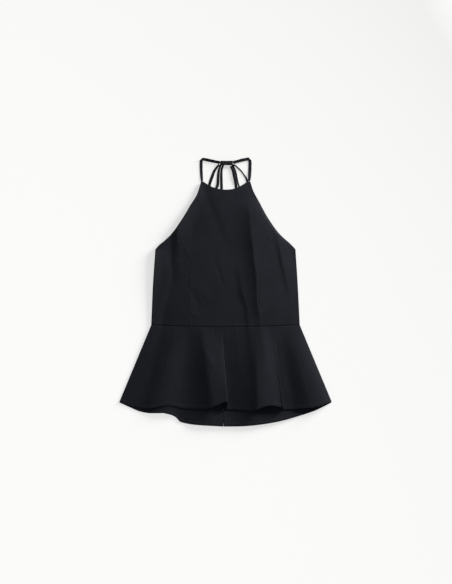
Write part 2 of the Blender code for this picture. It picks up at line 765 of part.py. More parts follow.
def tie(name, before, after=()):
    """A folded strip swept along its stations, with its fold between before and after if there is one."""
    bend = StripFold(before, after) if after else None
    rows = np.vstack([before, bend.unfold(after)]) if bend else np.array(before)
    line = smooth_line(rows, spacing=1.0)
    lengths = tie_lengths(line, bend)
    line_lengths = lengths_along(line)
    heading = np.gradient(line[:, :2], axis=0)
    mesh = bmesh.new()
    rings = []
    for length, row in zip(lengths, at_lengths(line, lengths)):
        x, y, z, width, roll = row
        along = np.array([np.interp(length, line_lengths, heading[:, k]) for k in (0, 1)])
        along /= np.linalg.norm(along)
        side = np.array([-along[1], along[0]])
        slant = 0.0
        if bend:
            # Near the crease the stations lie along it, so that the fold falls between them.
            crossing = lengths_at_crease(line, bend) + bend.bend_length / 2
            near = min(max(2 - abs(length - crossing) / TIE_SPACING, 0), 1)
            slant = -near * (side @ bend.normal) / (along @ bend.normal)
        tilt = math.radians(roll)
        ring = []
        for across, up in section(width):
            out = across * math.cos(tilt) - up * math.sin(tilt)
            rise = across * math.sin(tilt) + up * math.cos(tilt)
            px, py = np.array([x, y]) + out * (side + slant * along)
            point = bend.fold((px, py, z + rise)) if bend else (px, py, z + rise)
            ring.append(mesh.verts.new((point[0] * MM, point[1] * MM, max(point[2], 0) * MM)))
        rings.append(ring)
    for ring, after_ring in zip(rings, rings[1:]):
        for k in range(len(ring)):
            n = (k + 1) % len(ring)
            mesh.faces.new((ring[k], ring[n], after_ring[n], after_ring[k]))
    mesh.faces.new(rings[0][::-1])
    mesh.faces.new(rings[-1])
    bmesh.ops.recalc_face_normals(mesh, faces=mesh.faces)
    return add_object(name, mesh, TIE_COLOUR)


def section(width):
    """Outline of a tie's section, flat above and below and tapered at its two edges."""
    half, flat, up = width / 2, width / 2 - TIE_EDGE, TIE_THICK / 2
    return [(-half, 0), (-flat, -up), (flat, -up), (half, 0), (flat, up), (-flat, up)]


def lengths_at_crease(line, bend):
    past = (line[:, :2] - bend.at) @ bend.normal
    return float(lengths_along(line)[np.argmax(past > 0)])


def tie_lengths(line, bend):
    """Where the stations are: evenly along the tie, and close together round its fold."""
    total = lengths_along(line)[-1]
    plain = np.linspace(0, total, round(total / TIE_SPACING) + 1)
    if not bend:
        return plain
    start = lengths_at_crease(line, bend) - BEND
    close = np.linspace(start, start + 2 * bend.bend_length, 2 * BEND_STEPS)
    clear = (plain < close[0] - TIE_SPACING / 3) | (plain > close[-1] + TIE_SPACING / 3)
    return np.sort(np.concatenate([plain[clear], close]))


def knot():
    mesh = bmesh.new()
    bmesh.ops.create_uvsphere(mesh, u_segments=24, v_segments=12, radius=1)
    for vert in mesh.verts:
        square = [math.copysign(abs(v) ** KNOT_BLUNT, v) for v in vert.co]
        longest = max(abs(v) for v in square)
        vert.co = [(c + h * v / longest) * MM for c, h, v in zip(KNOT_CENTRE, KNOT_HALF, square)]
    return add_object("tie_knot", mesh, TIE_COLOUR)


# Objects


def cloth(name, colour):
    material = bpy.data.materials.new(name)
    material.use_nodes = True
    shader = material.node_tree.nodes["Principled BSDF"]
    shader.inputs["Base Color"].default_value = colour
    shader.inputs["Roughness"].default_value = CLOTH_ROUGHNESS
    shader.inputs["Metallic"].default_value = 0
    material.diffuse_color = colour
    return material


def add_object(name, mesh, colour):
    data = bpy.data.meshes.new(name)
    mesh.to_mesh(data)
    mesh.free()
    data.shade_smooth()
    data.set_sharp_from_angle(angle=math.radians(40))
    data.materials.append(cloth(name, colour))
    obj = bpy.data.objects.new(name, data)
    bpy.context.collection.objects.link(obj)
    return obj


def centre_on_origin(root):
    """Moves the whole top so that the origin is under the middle of its bounding box."""
    bpy.context.view_layer.update()
    graph = bpy.context.evaluated_depsgraph_get()
    corners = [np.array(obj.evaluated_get(graph).bound_box) for obj in root.children]
    low, high = np.min([c.min(axis=0) for c in corners], axis=0), np.max([c.max(axis=0) for c in corners], axis=0)
    root.location = (-(low[0] + high[0]) / 2, -(low[1] + high[1]) / 2, -low[2])


def main():
    for obj in list(bpy.data.objects):
        bpy.data.objects.remove(obj)
    centre_front()
    front_peplum()
    for side in ("left", "right"):
        side_front(side)
        back_bodice(side)
        back_peplum(side)
    for name, (before, after) in {**STRAPS, **LOOPS}.items():
        tie(name, before, after)
    for name, stations in TAILS.items():
        tie(name, stations)
    knot()
    pieces = list(bpy.data.objects)
    root = bpy.data.objects.new("halter_top", None)
    bpy.context.collection.objects.link(root)
    for obj in pieces:
        obj.parent = root
    centre_on_origin(root)


main()
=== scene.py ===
# A halter neck top in black cloth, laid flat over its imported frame: panels, seams, stitches and tied straps.
# Lengths in the tables are millimetres: x to the right, y towards the neck, z up from the surface.
import math

import bmesh
import bpy
import numpy as np
from mathutils import Matrix, Vector, noise


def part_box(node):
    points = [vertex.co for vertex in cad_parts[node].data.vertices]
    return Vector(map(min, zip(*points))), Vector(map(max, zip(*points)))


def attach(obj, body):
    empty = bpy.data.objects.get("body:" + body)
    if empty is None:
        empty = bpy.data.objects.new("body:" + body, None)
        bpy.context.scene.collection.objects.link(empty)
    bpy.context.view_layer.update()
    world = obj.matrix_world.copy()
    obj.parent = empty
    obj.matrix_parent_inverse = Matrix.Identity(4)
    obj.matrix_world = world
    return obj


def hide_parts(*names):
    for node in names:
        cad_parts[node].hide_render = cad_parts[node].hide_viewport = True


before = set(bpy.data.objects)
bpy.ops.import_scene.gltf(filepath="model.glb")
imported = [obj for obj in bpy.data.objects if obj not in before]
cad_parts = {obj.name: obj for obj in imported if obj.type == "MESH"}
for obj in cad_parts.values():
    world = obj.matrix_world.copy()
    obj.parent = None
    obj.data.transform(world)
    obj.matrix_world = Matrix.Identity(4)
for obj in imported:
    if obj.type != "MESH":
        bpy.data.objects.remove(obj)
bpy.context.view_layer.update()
mm = 0.001
backTop = 1.2  # top of the cloth that lies on the surface
frontTop = 2.7  # and of the cloth that lies on that

# Outline

outline = {
    "waistHalf": 196.4,
    "waistY": -88.8,
    "waistDip": 5.0,
    "hemHalf": 280.0,
    "centreBackX": -3.0,
    "backTopDip": 12.0,
    "seamGap": 0.004,
}
armholeUpper = {
    "left": [(-65, 291.4), (-76, 257), (-94, 227), (-112, 196), (-131, 167)],
    "right": [(65.6, 292.6), (74.5, 266), (89.5, 238), (110.5, 199), (131, 168)],
}
armholeLower = {
    "left": [(-131, 167), (-146, 149), (-161.5, 134), (-176, 122), (-185.6, 111)],
    "right": [(131, 168), (142, 154.5), (154.5, 142), (172.5, 126), (185.6, 112)],
}
princess = {
    "left": [(-131, 167), (-111.8, 114.5), (-96, 75), (-96.5, 22), (-99, -30), (-99, -92)],
    "right": [(131, 168), (112, 142), (101.5, 110), (94.5, 70), (89, 22), (87, -92)],
}
side = {
    "left": [(-185.6, 111), (-192, 15), (-196.4, -88.8)],
    "right": [(185.6, 112), (191.5, 15), (196.4, -88.8)],
}
neckline = [
    (-65, 291.4), (-58.6, 291.6), (-51, 286.6), (-43, 281.8), (-33, 276.8), (-18, 272.4), (0, 270.4),
    (18, 271.8), (32, 276.4), (43, 282), (52, 287.8), (59.6, 292.6), (65.6, 292.6),
]
frontHem = [
    (-280, -291.2), (-262, -298.6), (-240, -304.6), (-217, -308), (-187, -309), (-60, -309.5), (20, -311.5),
    (55, -313.8),
    (90, -313), (170, -310.4), (216, -307.4), (245, -302.6), (280, -290.6),
]
backHem = [
    (-280, -293.5), (-251, -306.4), (-226, -317), (-180, -331), (-118, -345.4), (-80, -351.6), (-2, -356.2),
    (42, -355.6), (80, -352.6), (118, -347.4), (160, -338.4), (226, -318.4), (254, -306.2), (280, -293),
]
slit = [  # y, x and width of the opening between the back peplum's halves
    (-80, -3, 0.004), (-255, -4.6, 0.004), (-284, -5, 0.004), (-312, -5.3, 0.004), (-346, -5.3, 0.004),
    (-353, -5.3, 0.3),
    (-360, -5.3, 2.2),
]


def smoothLine(stations, step=0.5):
    # a smooth curve through the stations, evenly spaced; columns after x and y ride along
    rows = np.array(stations, float)
    if len(rows) == 2:
        rows = np.vstack([rows[0], rows.mean(axis=0), rows[1]])
    rows = np.vstack([2 * rows[0] - rows[1], rows, 2 * rows[-1] - rows[-2]])
    t = np.linspace(0, 1, 24, endpoint=False)[:, None]
    dense = []
    for a, b, c, d in zip(rows, rows[1:], rows[2:], rows[3:]):
        curve = b + 0.5 * t * (c - a) + t**2 * (a - 2.5 * b + 2 * c - 0.5 * d)
        dense.append(curve + t**3 * (1.5 * b - 0.5 * a - 1.5 * c + 0.5 * d))
    dense = np.vstack([*dense, rows[-2]])
    total = lengthsAlong(dense)[-1]
    return atLengths(dense, np.linspace(0, total, max(3, round(total / step) + 1)))


def lengthsAlong(line, columns=2):
    steps = np.linalg.norm(np.diff(line[:, :columns], axis=0), axis=1)
    return np.concatenate([[0], np.cumsum(steps)])


def atLengths(line, wanted, columns=2):
    travelled = lengthsAlong(line, columns)
    return np.column_stack([np.interp(wanted, travelled, column) for column in line.T])


def atShares(line, shares):
    return atLengths(line, np.array(shares) * lengthsAlong(line)[-1])


def beside(line, distance):
    # the line moved to the left of its direction
    along = np.gradient(line, axis=0)
    along /= np.linalg.norm(along, axis=1)[:, None]
    return line + distance * np.column_stack([-along[:, 1], along[:, 0]])


def smoothStep(value):
    value = np.clip(value, 0, 1)
    return value * value * (3 - 2 * value)


def waistY(x):
    return outline["waistY"] - outline["waistDip"] * (1 - (np.asarray(x) / outline["waistHalf"]) ** 2)


# Form of the laid front

# Each level: y, then for the left and the right the height of the edge, the rise inside it and how far in, and
# last the dome over the whole width.
levels = [
    (-94, 4.2, -1.2, 24, 2.7, 1.0, 26, 4.2),
    (-40, 5.0, -1.8, 24, 2.7, 1.4, 28, 3.2),
    (10, 6.4, -3.4, 28, 2.7, 2.0, 32, 2.2),
    (60, 8.8, -5.8, 34, 2.7, 1.6, 38, 2.0),
    (111, 10.4, -7.4, 38, 2.7, 0.8, 40, 1.8),
    (140, 8.4, -6.0, 40, 2.2, 1.1, 34, 2.2),
    (200, 8.0, -5.2, 42, 2.4, 2.2, 32, 2.5),
    (236, 8.2, -5.0, 38, 2.6, 1.6, 28, 2.8),
    (262, 7.8, -4.6, 32, 3.0, 0.9, 24, 2.6),
    (293, 4.4, -2.0, 22, 3.4, 0.4, 16, 1.2),
]
# y and the height of cloth that lies flat: on the back below, on the surface above
lowest = [(108, frontTop), (145, 1.5)]
levelBlend = 18
insideFade = 9  # width along the edges in which creases fade out
# Each crease runs through its points, from the neck down: x, y and how much of its height it has there.
# height is up for a ridge and down for a trough. left and right are how far its flanks reach, steep is how
# much of their fall is close to the crest, and round is how blunt the crest is. Those of edgeFolds run on over
# the cloth's edge, and the others fade out before it.
edgeFolds = [
    dict(  # the cloth stands up along the left armhole and falls away to the right
        path=[(-100, 232, 0), (-112, 205, 0.7), (-122, 182, 1.1), (-127, 162, 1.15), (-127, 140, 0.85),
              (-127, 118, 0.45), (-127, 92, 0)],
        height=4.4, left=19, right=38, steep=(1.1, 1.15), round=2.0),
]
bodiceFolds = [
    dict(  # the long fold right of the middle
        path=[(59, 246, 0), (62, 216, 0.45), (65, 189, 0.62), (67, 163, 0.8), (69.7, 136, 0.95),
              (73.4, 110, 1.05), (75.5, 83, 1.05),
              (79.5, 57, 1.05), (81.6, 30, 1.05), (82.2, 4, 1), (83.5, -22, 1), (87, -49, 0.9), (89.6, -70, 0.65),
              (91, -94, 0.45)],
        height=6.5, left=62, right=105, steep=(3.0, 1.15), round=0.8),
    dict(path=[(30, 78, 0), (35.8, 52, 0.4), (41, 25, 0.8), (43, 4, 1), (51, -22, 1), (57, -42, 1),
               (59.5, -66, 0.9), (62, -94, 0.7)],
         height=1.8, left=15, right=34, steep=(1.8, 1.0), round=1.2),
    dict(path=[(-60, 280, 0.5), (-49, 253, 1), (-37, 216, 1), (-25, 189, 1), (-16, 163, 1), (-5, 136, 0.7),
               (7, 104, 0.3), (17, 78, 0)],
         height=-0.9, left=26, right=20, steep=(1.5, 1.5), round=3.4),
    dict(path=[(-36, 94, 0), (-28, 78, 0.7), (-18, 57, 1), (-11, 30, 1), (-8, 12, 0)],
         height=-0.6, left=14, right=7, steep=(1.6, 1.6), round=1.0),
    dict(path=[(-139, 140, 0), (-140, 122, 0.25), (-142, 104, 0.75), (-144, 83, 0.9), (-141, 57, 0.8),
               (-139, 30, 0.5), (-140, 4, 0)],
         height=-2.4, left=20, right=22, steep=(1.5, 1.8), round=1.4),
    dict(path=[(-141, 44, 0), (-147, 4, 0.5), (-155, -30, 0.7), (-162, -60, 0.9), (-165, -94, 1)],
         height=-2.4, left=20, right=60, steep=(1.3, 1.7), round=2.0),
    dict(path=[(134, 160, 0.2), (138, 136, 0.5), (144.4, 110, 0.85), (148.4, 83, 1), (155, 57, 0.9),
               (160, 30, 0.6), (165.6, 4, 0.4), (168, -36, 0)],
         height=2.0, left=11, right=36, steep=(1.6, 1.2), round=0.8),
    dict(path=[(-97, -46, 0), (-90, -55, 1), (-78, -63, 1), (-62, -65, 0)],
         height=0.5, left=12, right=7, steep=(2, 2), round=1.5),
    dict(path=[(20, -66, 0), (24, -80, 1), (28, -94, 1)], height=0.4, left=8, right=10, steep=(2, 2), round=1.5),
    dict(path=[(-92, 20, 0), (-84, -6, 1), (-72, -34, 1), (-56, -58, 0)],
         height=-0.5, left=16, right=14, steep=(1.6, 1.6), round=3.0),
    dict(path=[(-62, 8, 0), (-52, -12, 1),
               (-38, -30, 0)], height=0.4, left=14, right=14, steep=(1.6, 1.6), round=3.0),
]
# The front peplum's section at the hem, from left to right: where the line starts at the waist, where it
# meets the hem, its height there, how far it lifts the hem's edge, how far the flute leans over there, and,
# where it is given, how late the height comes on the way down (1 unless given).
flutes = [
    (-196.4, -280, 0, 0, 0), (-187, -262, 0, 0, 0), (-176, -248, 0.1, 0, 0), (-166, -234.5, 0.5, 0, 0),
    (-156, -221, 1.5, 0, 0),
    (-146, -208, 3.9, 0, 0), (-137, -195, 6.2, 1, 0), (-129, -181.5, 7.3, 3.5, 0), (-121, -168, 6.9, 6.5, 0),
    (-114, -155, 5.6, 8.4, 0),
    (-108, -142, 3.7, 7.5, 0), (-102.5, -128.5, 2, 4.5, 0), (-98, -115, 0.9, 1, 0), (-94, -103, 0.9, 0, 0),
    (-89.5, -92, 1.8, 0, 0),
    (-84.5, -80, 3.3, 0, 0), (-79.5, -68, 5.6, 0, 0), (-74.5, -57, 8.3, 0.5, 0), (-69.5, -46, 11.4, 2, 0),
    (-65, -36, 14.1, 4.5, 0),
    (-60, -27, 15.3, 9.5, 1, 1.05), (-50, -18, 15.5, 14.5, 2.6, 1.15), (-32, -11, 15.6, 18, 4.2, 1.4),
    (-15, -6.5, 15.8, 19.5, 5.8, 1.8), (-9.9, -3, 16.1, 19.5, 7.8, 2.2),
    (-9.8, -1, 14.3, 17, 6.9, 2.2), (-9.7, 1, 11, 12.5, 5.1, 2.2), (-9.6, 3, 7.4, 7, 2.7, 2.1),
    (-9.5, 5, 3.6, 2.5, 0.1, 1.8), (-9.3, 7, 1.2, 0, -1.9, 1.3),
    (-2, 15, 0.7, 0, -1), (9, 24, 1.6, 0, 0), (22, 34, 3.2, 0, 0), (35, 44, 5.1, 0, 0), (48, 54, 7.1, 0, 0),
    (58, 63, 9.2, 0, 0),
    (66, 71, 11.5, 0.5, 0), (74, 79, 14.2, 1.5, 0), (81, 86, 15.9, 3.5, 0), (87, 92, 16.1, 6, 0),
    (95, 100, 15.8, 9, 0),
    (104, 114, 14.4, 12, 0, 1.1), (112, 127, 12.4, 11, 1, 1.5), (119, 137, 10.5, 8, 2.8, 2.0),
    (124, 143.5, 9.9, 6, 5, 2.4), (125.9, 146.3, 10.9, 5, 6.2, 2.5),
    (126, 147.8, 9.7, 4, 5.5, 2.5), (126.1, 149.3, 7.2, 3, 4.1, 2.5), (126.2, 150.8, 4.6, 1.5, 2.3, 2.3),
    (126.3, 152.3, 2.4, 0, 0.5, 1.8),
    (126.5, 153.8, 1.2, 0, -1.2, 1.3), (134, 164, 0.7, 0, -0.5), (142, 176, 0.9, 0, 0), (148, 188, 2.4, 0, 0),
    (154, 201, 5, 0, 0),
    (160, 214, 7.6, 0, 0), (167, 227, 9.3, 0, 0), (174, 240, 9.6, 0, 0), (182, 253, 8.7, 0, 0),
    (189, 265, 6.3, 0, 0),
    (193.5, 274, 3, 0, 0), (196.4, 280, 0.4, 0, 0),
]
ripples = [  # the back peplum's: under the front's flutes, and where its left hem is lifted
    (-196.4, -280, 0, 0, 0), (-165, -232, 0.6, 0, 0), (-148, -205, 2.6, 3, 0), (-136, -187, 5, 8, 0),
    (-126, -172, 6.2, 12, 0),
    (-118, -162, 6.1, 14.5, 0), (-112, -150, 4.9, 14.5, 0), (-107, -141, 3.4, 13.8, 0), (-102, -132, 2, 11, 0),
    (-99, -126, 1.4, 6.5, 0),
    (-96, -120, 0.9, 1, 0), (-93, -108, 0.7, 0, 0), (-88, -90, 1.6, 0, 0), (-82, -75, 3.9, 0, 0),
    (-76, -62, 6.5, 0, 0), (-69, -50, 8, 0, 0),
    (-60, -39, 7, 0, 0), (-40, -24, 3, 0, 0), (-18, -8, 0.6, 0, 0), (-4, 6, 0.1, 0, 0), (4, 14, 0.3, 0, 0),
    (16, 25, 1.3, 0, 0), (28, 36, 3.2, 0, 0),
    (42, 48, 5.7, 0, 0), (54, 60, 8, 0, 0), (64, 69, 8.6, 0, 0), (75, 80, 6.4, 0, 0), (88, 95, 2.6, 0, 0),
    (104, 118, 0.4, 0, 0), (130, 156, 0, 0, 0),
    (196.4, 280, 0, 0, 0),
]
growth = {"front": dict(start=0, power=0.92, blur=1.0), "back": dict(start=0.3, power=1.4, blur=1.0)}
# past the front's hem the back's stands off the surface
hemLift = dict(height=4.5, settle=0.8, reach=44.0, left=(-112, 30), right=(245, 60))
peplumFolds = [
    dict(path=[(-56, -150, 0), (-46, -172, 1), (-36, -196, 0.8),
               (-28, -214, 0)], height=0.7, left=12, right=12, steep=(1.8, 1.8), round=2.0),
    dict(path=[(-30, -98, 0.6), (-27, -114, 1),
               (-25, -134, 0)], height=-0.4, left=10, right=10, steep=(1.8, 1.8), round=2.4),
    dict(path=[(-18, -98, 0.6), (-17, -112, 1),
               (-18, -126, 0)], height=-0.25, left=8, right=8, steep=(1.8, 1.8), round=2.2),
    dict(path=[(8, -98, 0.6), (12, -116, 1), (14, -140, 0.6),
               (15, -160, 0)], height=-0.3, left=12, right=11, steep=(1.8, 1.8), round=3.0),
    dict(path=[(24, -98, 0.4), (26, -130, 1),
               (30, -170, 0)], height=-0.25, left=14, right=12, steep=(1.8, 1.8), round=3.6),
    dict(path=[(-142, -110, 0), (-156, -160, 1),
               (-172, -220, 0)], height=-0.5, left=12, right=12, steep=(1.8, 1.8), round=3.0),
]


def edgeX(hand, y):
    edge = [*reversed(side[hand]), *reversed(armholeLower[hand][:-1]), *reversed(armholeUpper[hand][:-1])]
    return np.interp(y, [p[1] for p in edge], [p[0] for p in edge])


def crest(distance, reach, blunt, power):
    # 1 on the crest, sloping away to 0 at the reach
    e = blunt / reach
    q = (np.sqrt((distance / reach) ** 2 + e * e) - e) / (math.sqrt(1 + e * e) - e)
    return np.clip(1 - q, 0, 1) ** power


def creaseHeight(x, y, folds):
    total = np.zeros(x.shape)
    for fold in folds:
        line = smoothLine(fold["path"], 3.0)
        reach = max(fold["left"], fold["right"])
        low, high = line.min(axis=0) - reach, line.max(axis=0) + reach
        near = (x > low[0]) & (x < high[0]) & (y > low[1]) & (y < high[1])
        if not near.any():
            continue
        px, py = x[near], y[near]
        best, signed, share = np.full(px.shape, 1e9), np.zeros(px.shape), np.zeros(px.shape)
        for a, b in zip(line, line[1:]):
            dx, dy = b[:2] - a[:2]
            t = np.clip(((px - a[0]) * dx + (py - a[1]) * dy) / (dx * dx + dy * dy), 0, 1)
            rx, ry = px - a[0] - t * dx, py - a[1] - t * dy
            away = np.hypot(rx, ry)
            nearer = away < best
            best = np.where(nearer, away, best)
            signed = np.where(nearer, dx * ry - dy * rx, signed)
            share = np.where(nearer, a[2] + t * (b[2] - a[2]), share)
        leftFlank = crest(best, fold["left"], fold["round"], fold["steep"][0])
        rightFlank = crest(best, fold["right"], fold["round"], fold["steep"][1])
        total[near] += fold["height"] * np.maximum(share, 0) * np.where(signed < 0, leftFlank, rightFlank)
    return total


def softNoise(x, y, scale, seed):
    flat = [noise.noise((a / scale, b / scale, seed)) for a, b in zip(x.ravel(), y.ravel())]
    return np.array(flat).reshape(x.shape)


def levelsAt(y):
    table = np.array(levels)
    around = np.arange(-levelBlend, levelBlend + 1, 6.0)  # the levels run into each other
    return [np.mean([np.interp(y + d, table[:, 0], column) for d in around], axis=0) for column in table.T[1:]]


def frontHeight(x, y):
    edgeLeft, riseLeft, reachLeft, edgeRight, riseRight, reachRight, dome = levelsAt(y)
    left, right = edgeX("left", y), edgeX("right", y)
    across = np.clip((x - left) / (right - left), 0, 1)
    form = edgeLeft + (edgeRight - edgeLeft) * smoothStep(across) + dome * (1 - (2 * across - 1) ** 2)
    form = form + riseLeft * np.sin(math.pi / 2 * np.clip((x - left) / reachLeft, 0, 1)) * (1 - smoothStep(across))
    form = form + riseRight * np.sin(math.pi / 2 * np.clip((right - x) / reachRight, 0, 1))
    inside = np.minimum(x - left, right - x)
    form = form + creaseHeight(x, y, edgeFolds) + creaseHeight(x, y, bodiceFolds) * smoothStep(inside / insideFade)
    return softFloor(form, np.interp(y, *np.array(lowest).T))


def backHeight(x, y):
    # the back lies on the surface, and rises with the front along the left side seam
    edgeLeft, _, reachLeft = levelsAt(y)[:3]
    inside = np.clip((x - edgeX("left", y)) / reachLeft, 0, 1)
    return backTop + np.maximum(edgeLeft - frontTop, 0) * (1 - np.sin(math.pi / 2 * inside))


def softFloor(form, low):
    # no lower than low, and easing on to it
    return low + 0.5 * (form - low + np.sqrt((form - low) ** 2 + 0.3))


def throughPoints(x, xs, ys):
    # a curve through the points that never swings past them
    steps, rises = np.diff(xs), np.diff(ys)
    slopes = rises / steps
    tangents = np.zeros(len(xs))
    same = slopes[:-1] * slopes[1:] > 0
    mean = 2 * slopes[:-1] * slopes[1:] / np.where(same, slopes[:-1] + slopes[1:], 1)
    tangents[1:-1] = np.where(same, mean, 0)
    tangents[0], tangents[-1] = slopes[0], slopes[-1]
    k = np.clip(np.searchsorted(xs, x) - 1, 0, len(xs) - 2)
    t = np.clip((x - xs[k]) / steps[k], 0, 1)
    start = (1 + 2 * t) * (1 - t) ** 2 * ys[k] + t * (1 - t) ** 2 * steps[k] * tangents[k]
    return start + t * t * (3 - 2 * t) * ys[k + 1] - t * t * (1 - t) * steps[k] * tangents[k + 1]


def fluteForm(table, x, v, grows):
    # height, lift and lean of a flared piece; every row of x and v is one level between waist and hem
    waistX, hemX, height, lift, lean, late = np.array([(*row, 1)[:6] for row in table], float).T
    heights, lifts, leans = np.zeros(x.shape), np.zeros(x.shape), np.zeros(x.shape)
    for row in range(x.shape[0]):
        down = v[row, 0]
        grown = math.sin(math.pi / 2 * max((down - grows["start"]) / (1 - grows["start"]), 0)) ** grows["power"]
        xs = waistX + (hemX - waistX) * down
        around = np.linspace(-1, 1, 5) * grows["blur"] * (1 - down) ** 2  # the flutes are blunter near the waist
        heights[row] = np.mean([throughPoints(x[row] + d, xs, height * grown**late) for d in around], axis=0)
        lifts[row] = throughPoints(x[row], xs, lift * down**3)
        leans[row] = throughPoints(x[row], xs, lean * down)
    return heights, lifts, leans


# Edges: what each kind of seam and hem does to the cloth beside it

# each kind's shade is how much painted shade lies along that edge
edgeKinds = {
    "seam": dict(roll=0.22, rollWidth=1.0, fold=8.0, raised=0.08, stitchAt=None, pucker=0.3, wave=8.0, shade=0.45),
    "waist": dict(roll=1.1, rollWidth=1.5, fold=11.5, raised=0.22, stitchAt=6.0, pucker=0.22, wave=10.0, shade=1.0),
    "waistLow": dict(roll=0.35, rollWidth=1.5, fold=0.0, raised=0.0, stitchAt=None, pucker=0.3, wave=14.0, shade=1.0),
    "side": dict(roll=0.4, rollWidth=1.2, fold=8.0, raised=0.1, stitchAt=None, pucker=0.15, wave=12.0, shade=0.4),
    "faced": dict(roll=0.3, rollWidth=0.8, fold=6.0, raised=0.1, stitchAt=None, pucker=0.12, wave=9.0, shade=0.0),
    "hem": dict(roll=0.35, rollWidth=0.9, fold=10.5, raised=0.22, stitchAt=9.2, pucker=0.3, wave=12.0, shade=0.0),
    "plain": dict(roll=0.2, rollWidth=0.8, fold=0.0, raised=0.0, stitchAt=None, pucker=0.0, wave=12.0, shade=0.0),
}
exposedEdges = ("hem", "faced")


def waver(along, wave, seed):
    # an uneven wave along an edge
    steps = np.arange(-30, along.max() + 31, 1.0)
    curve = [noise.noise((s / wave, seed, 0.3)) + 0.5 * noise.noise((s / wave * 2.3, seed, 7.1)) for s in steps]
    return np.interp(along, steps, curve)


def edgeRelief(kind, distance, along, seed):
    k = edgeKinds[kind]
    rise = -k["roll"] * np.exp(-((distance / k["rollWidth"]) ** 2))
    if k["fold"]:
        rise = rise + k["raised"] * smoothStep((k["fold"] + 0.8 - distance) / 1.6)
    if k["stitchAt"]:
        rise = rise - 0.3 * np.exp(-(((distance - k["stitchAt"]) / 0.8) ** 2))
    if k["pucker"]:
        width = k["fold"] or 10.0
        band = smoothStep(distance / 2.5) * np.exp(-((distance / (width * 0.9)) ** 2))
        rise = rise + k["pucker"] * band * waver(along + 0.25 * distance, k["wave"], seed)
    return rise


# Shaders

clothLook = {
    "front": dict(base=(0.0062, 0.0067, 0.0091), light=(0.0105, 0.0113, 0.0154), roughness=0.84),
    "back": dict(base=(0.0060, 0.0065, 0.0089), light=(0.0102, 0.0110, 0.0150), roughness=0.86),
    "tie": dict(base=(0.0060, 0.0063, 0.0080), light=(0.0104, 0.0109, 0.0139), roughness=0.82),
    "threadsPerMetre": 2100.0,
    "weaveDepth": 0.00012,
    "sheen": 0.03,
    "specular": 0.09,
}


def newGroup(name, inputs, outputs):
    group = bpy.data.node_groups.new(name, "ShaderNodeTree")
    for label, kind, value in inputs:
        socket = group.interface.new_socket(label, in_out="INPUT", socket_type=kind)
        if value is not None:
            socket.default_value = value
    for label, kind in outputs:
        group.interface.new_socket(label, in_out="OUTPUT", socket_type=kind)
    return group, group.nodes.new("NodeGroupInput"), group.nodes.new("NodeGroupOutput")


def mathNode(tree, operation, a, b=None):
    node = tree.nodes.new("ShaderNodeMath")
    node.operation = operation
    for socket, value in zip(node.inputs, (a, b)):
        if isinstance(value, bpy.types.NodeSocket):
            tree.links.new(value, socket)
        elif value is not None:
            socket.default_value = value
    return node.outputs[0]


def weaveGroup():
    # plain weave: warp and weft threads pass over each other in turn
    group, given, out = newGroup(
        "plainWeave",
        [("Vector", "NodeSocketVector", None), ("Threads", "NodeSocketFloat", 2000.0)],
        [("Height", "NodeSocketFloat")],
    )
    scaled = group.nodes.new("ShaderNodeVectorMath")
    scaled.operation = "SCALE"
    group.links.new(given.outputs["Vector"], scaled.inputs[0])
    group.links.new(given.outputs["Threads"], scaled.inputs["Scale"])
    bend = group.nodes.new("ShaderNodeTexNoise")
    bend.inputs["Scale"].default_value = 90.0
    bend.inputs["Detail"].default_value = 1.0
    group.links.new(given.outputs["Vector"], bend.inputs["Vector"])
    drift = mathNode(group, "MULTIPLY", mathNode(group, "SUBTRACT", bend.outputs["Fac"], 0.5), 3.0)
    parts = group.nodes.new("ShaderNodeSeparateXYZ")
    group.links.new(scaled.outputs[0], parts.inputs[0])
    waves, cells = [], []
    for axis in (0, 1):
        place = mathNode(group, "ADD", parts.outputs[axis], drift)
        within = mathNode(group, "SUBTRACT", mathNode(group, "FRACT", place), 0.5)
        waves.append(mathNode(group, "COSINE", mathNode(group, "MULTIPLY", within, math.pi)))
        cells.append(mathNode(group, "FLOOR", place))
    over = mathNode(group, "FLOORED_MODULO", mathNode(group, "ADD", cells[0], cells[1]), 2.0)
    threads = []
    for first, second in ((0, 1), (1, 0)):
        swell = mathNode(group, "ADD", mathNode(group, "MULTIPLY", waves[second], 0.5), 0.5)
        threads.append(mathNode(group, "MULTIPLY", waves[first], swell))
    warp = mathNode(group, "MULTIPLY", threads[0], over)
    weft = mathNode(group, "MULTIPLY", threads[1], mathNode(group, "SUBTRACT", 1.0, over))
    group.links.new(mathNode(group, "ADD", warp, weft), out.inputs["Height"])
    return group


def toneGroup():
    # uneven dye and slubs: long thin streaks both ways, and soft patches
    group, given, out = newGroup(
        "clothTone", [("Vector", "NodeSocketVector", None)], [("Tone", "NodeSocketFloat"),
        ("Slub", "NodeSocketFloat")]
    )
    streaks = []
    for scale in ((14.0, 950.0, 1.0), (950.0, 14.0, 1.0)):
        stretch = group.nodes.new("ShaderNodeMapping")
        stretch.inputs["Scale"].default_value = scale
        group.links.new(given.outputs["Vector"], stretch.inputs["Vector"])
        streak = group.nodes.new("ShaderNodeTexNoise")
        streak.inputs["Scale"].default_value = 1.0
        streak.inputs["Detail"].default_value = 2.0
        group.links.new(stretch.outputs[0], streak.inputs["Vector"])
        streaks.append(streak.outputs["Fac"])
    patch = group.nodes.new("ShaderNodeTexNoise")
    patch.inputs["Scale"].default_value = 16.0
    patch.inputs["Detail"].default_value = 4.0
    group.links.new(given.outputs["Vector"], patch.inputs["Vector"])
    slub = mathNode(group, "MULTIPLY", mathNode(group, "ADD", streaks[0], streaks[1]), 0.5)
    group.links.new(slub, out.inputs["Slub"])
    tone = mathNode(
        group, "ADD", mathNode(group, "MULTIPLY", patch.outputs["Fac"], 0.55), mathNode(group, "MULTIPLY", slub, 0.45)
    )
    group.links.new(tone, out.inputs["Tone"])
    return group


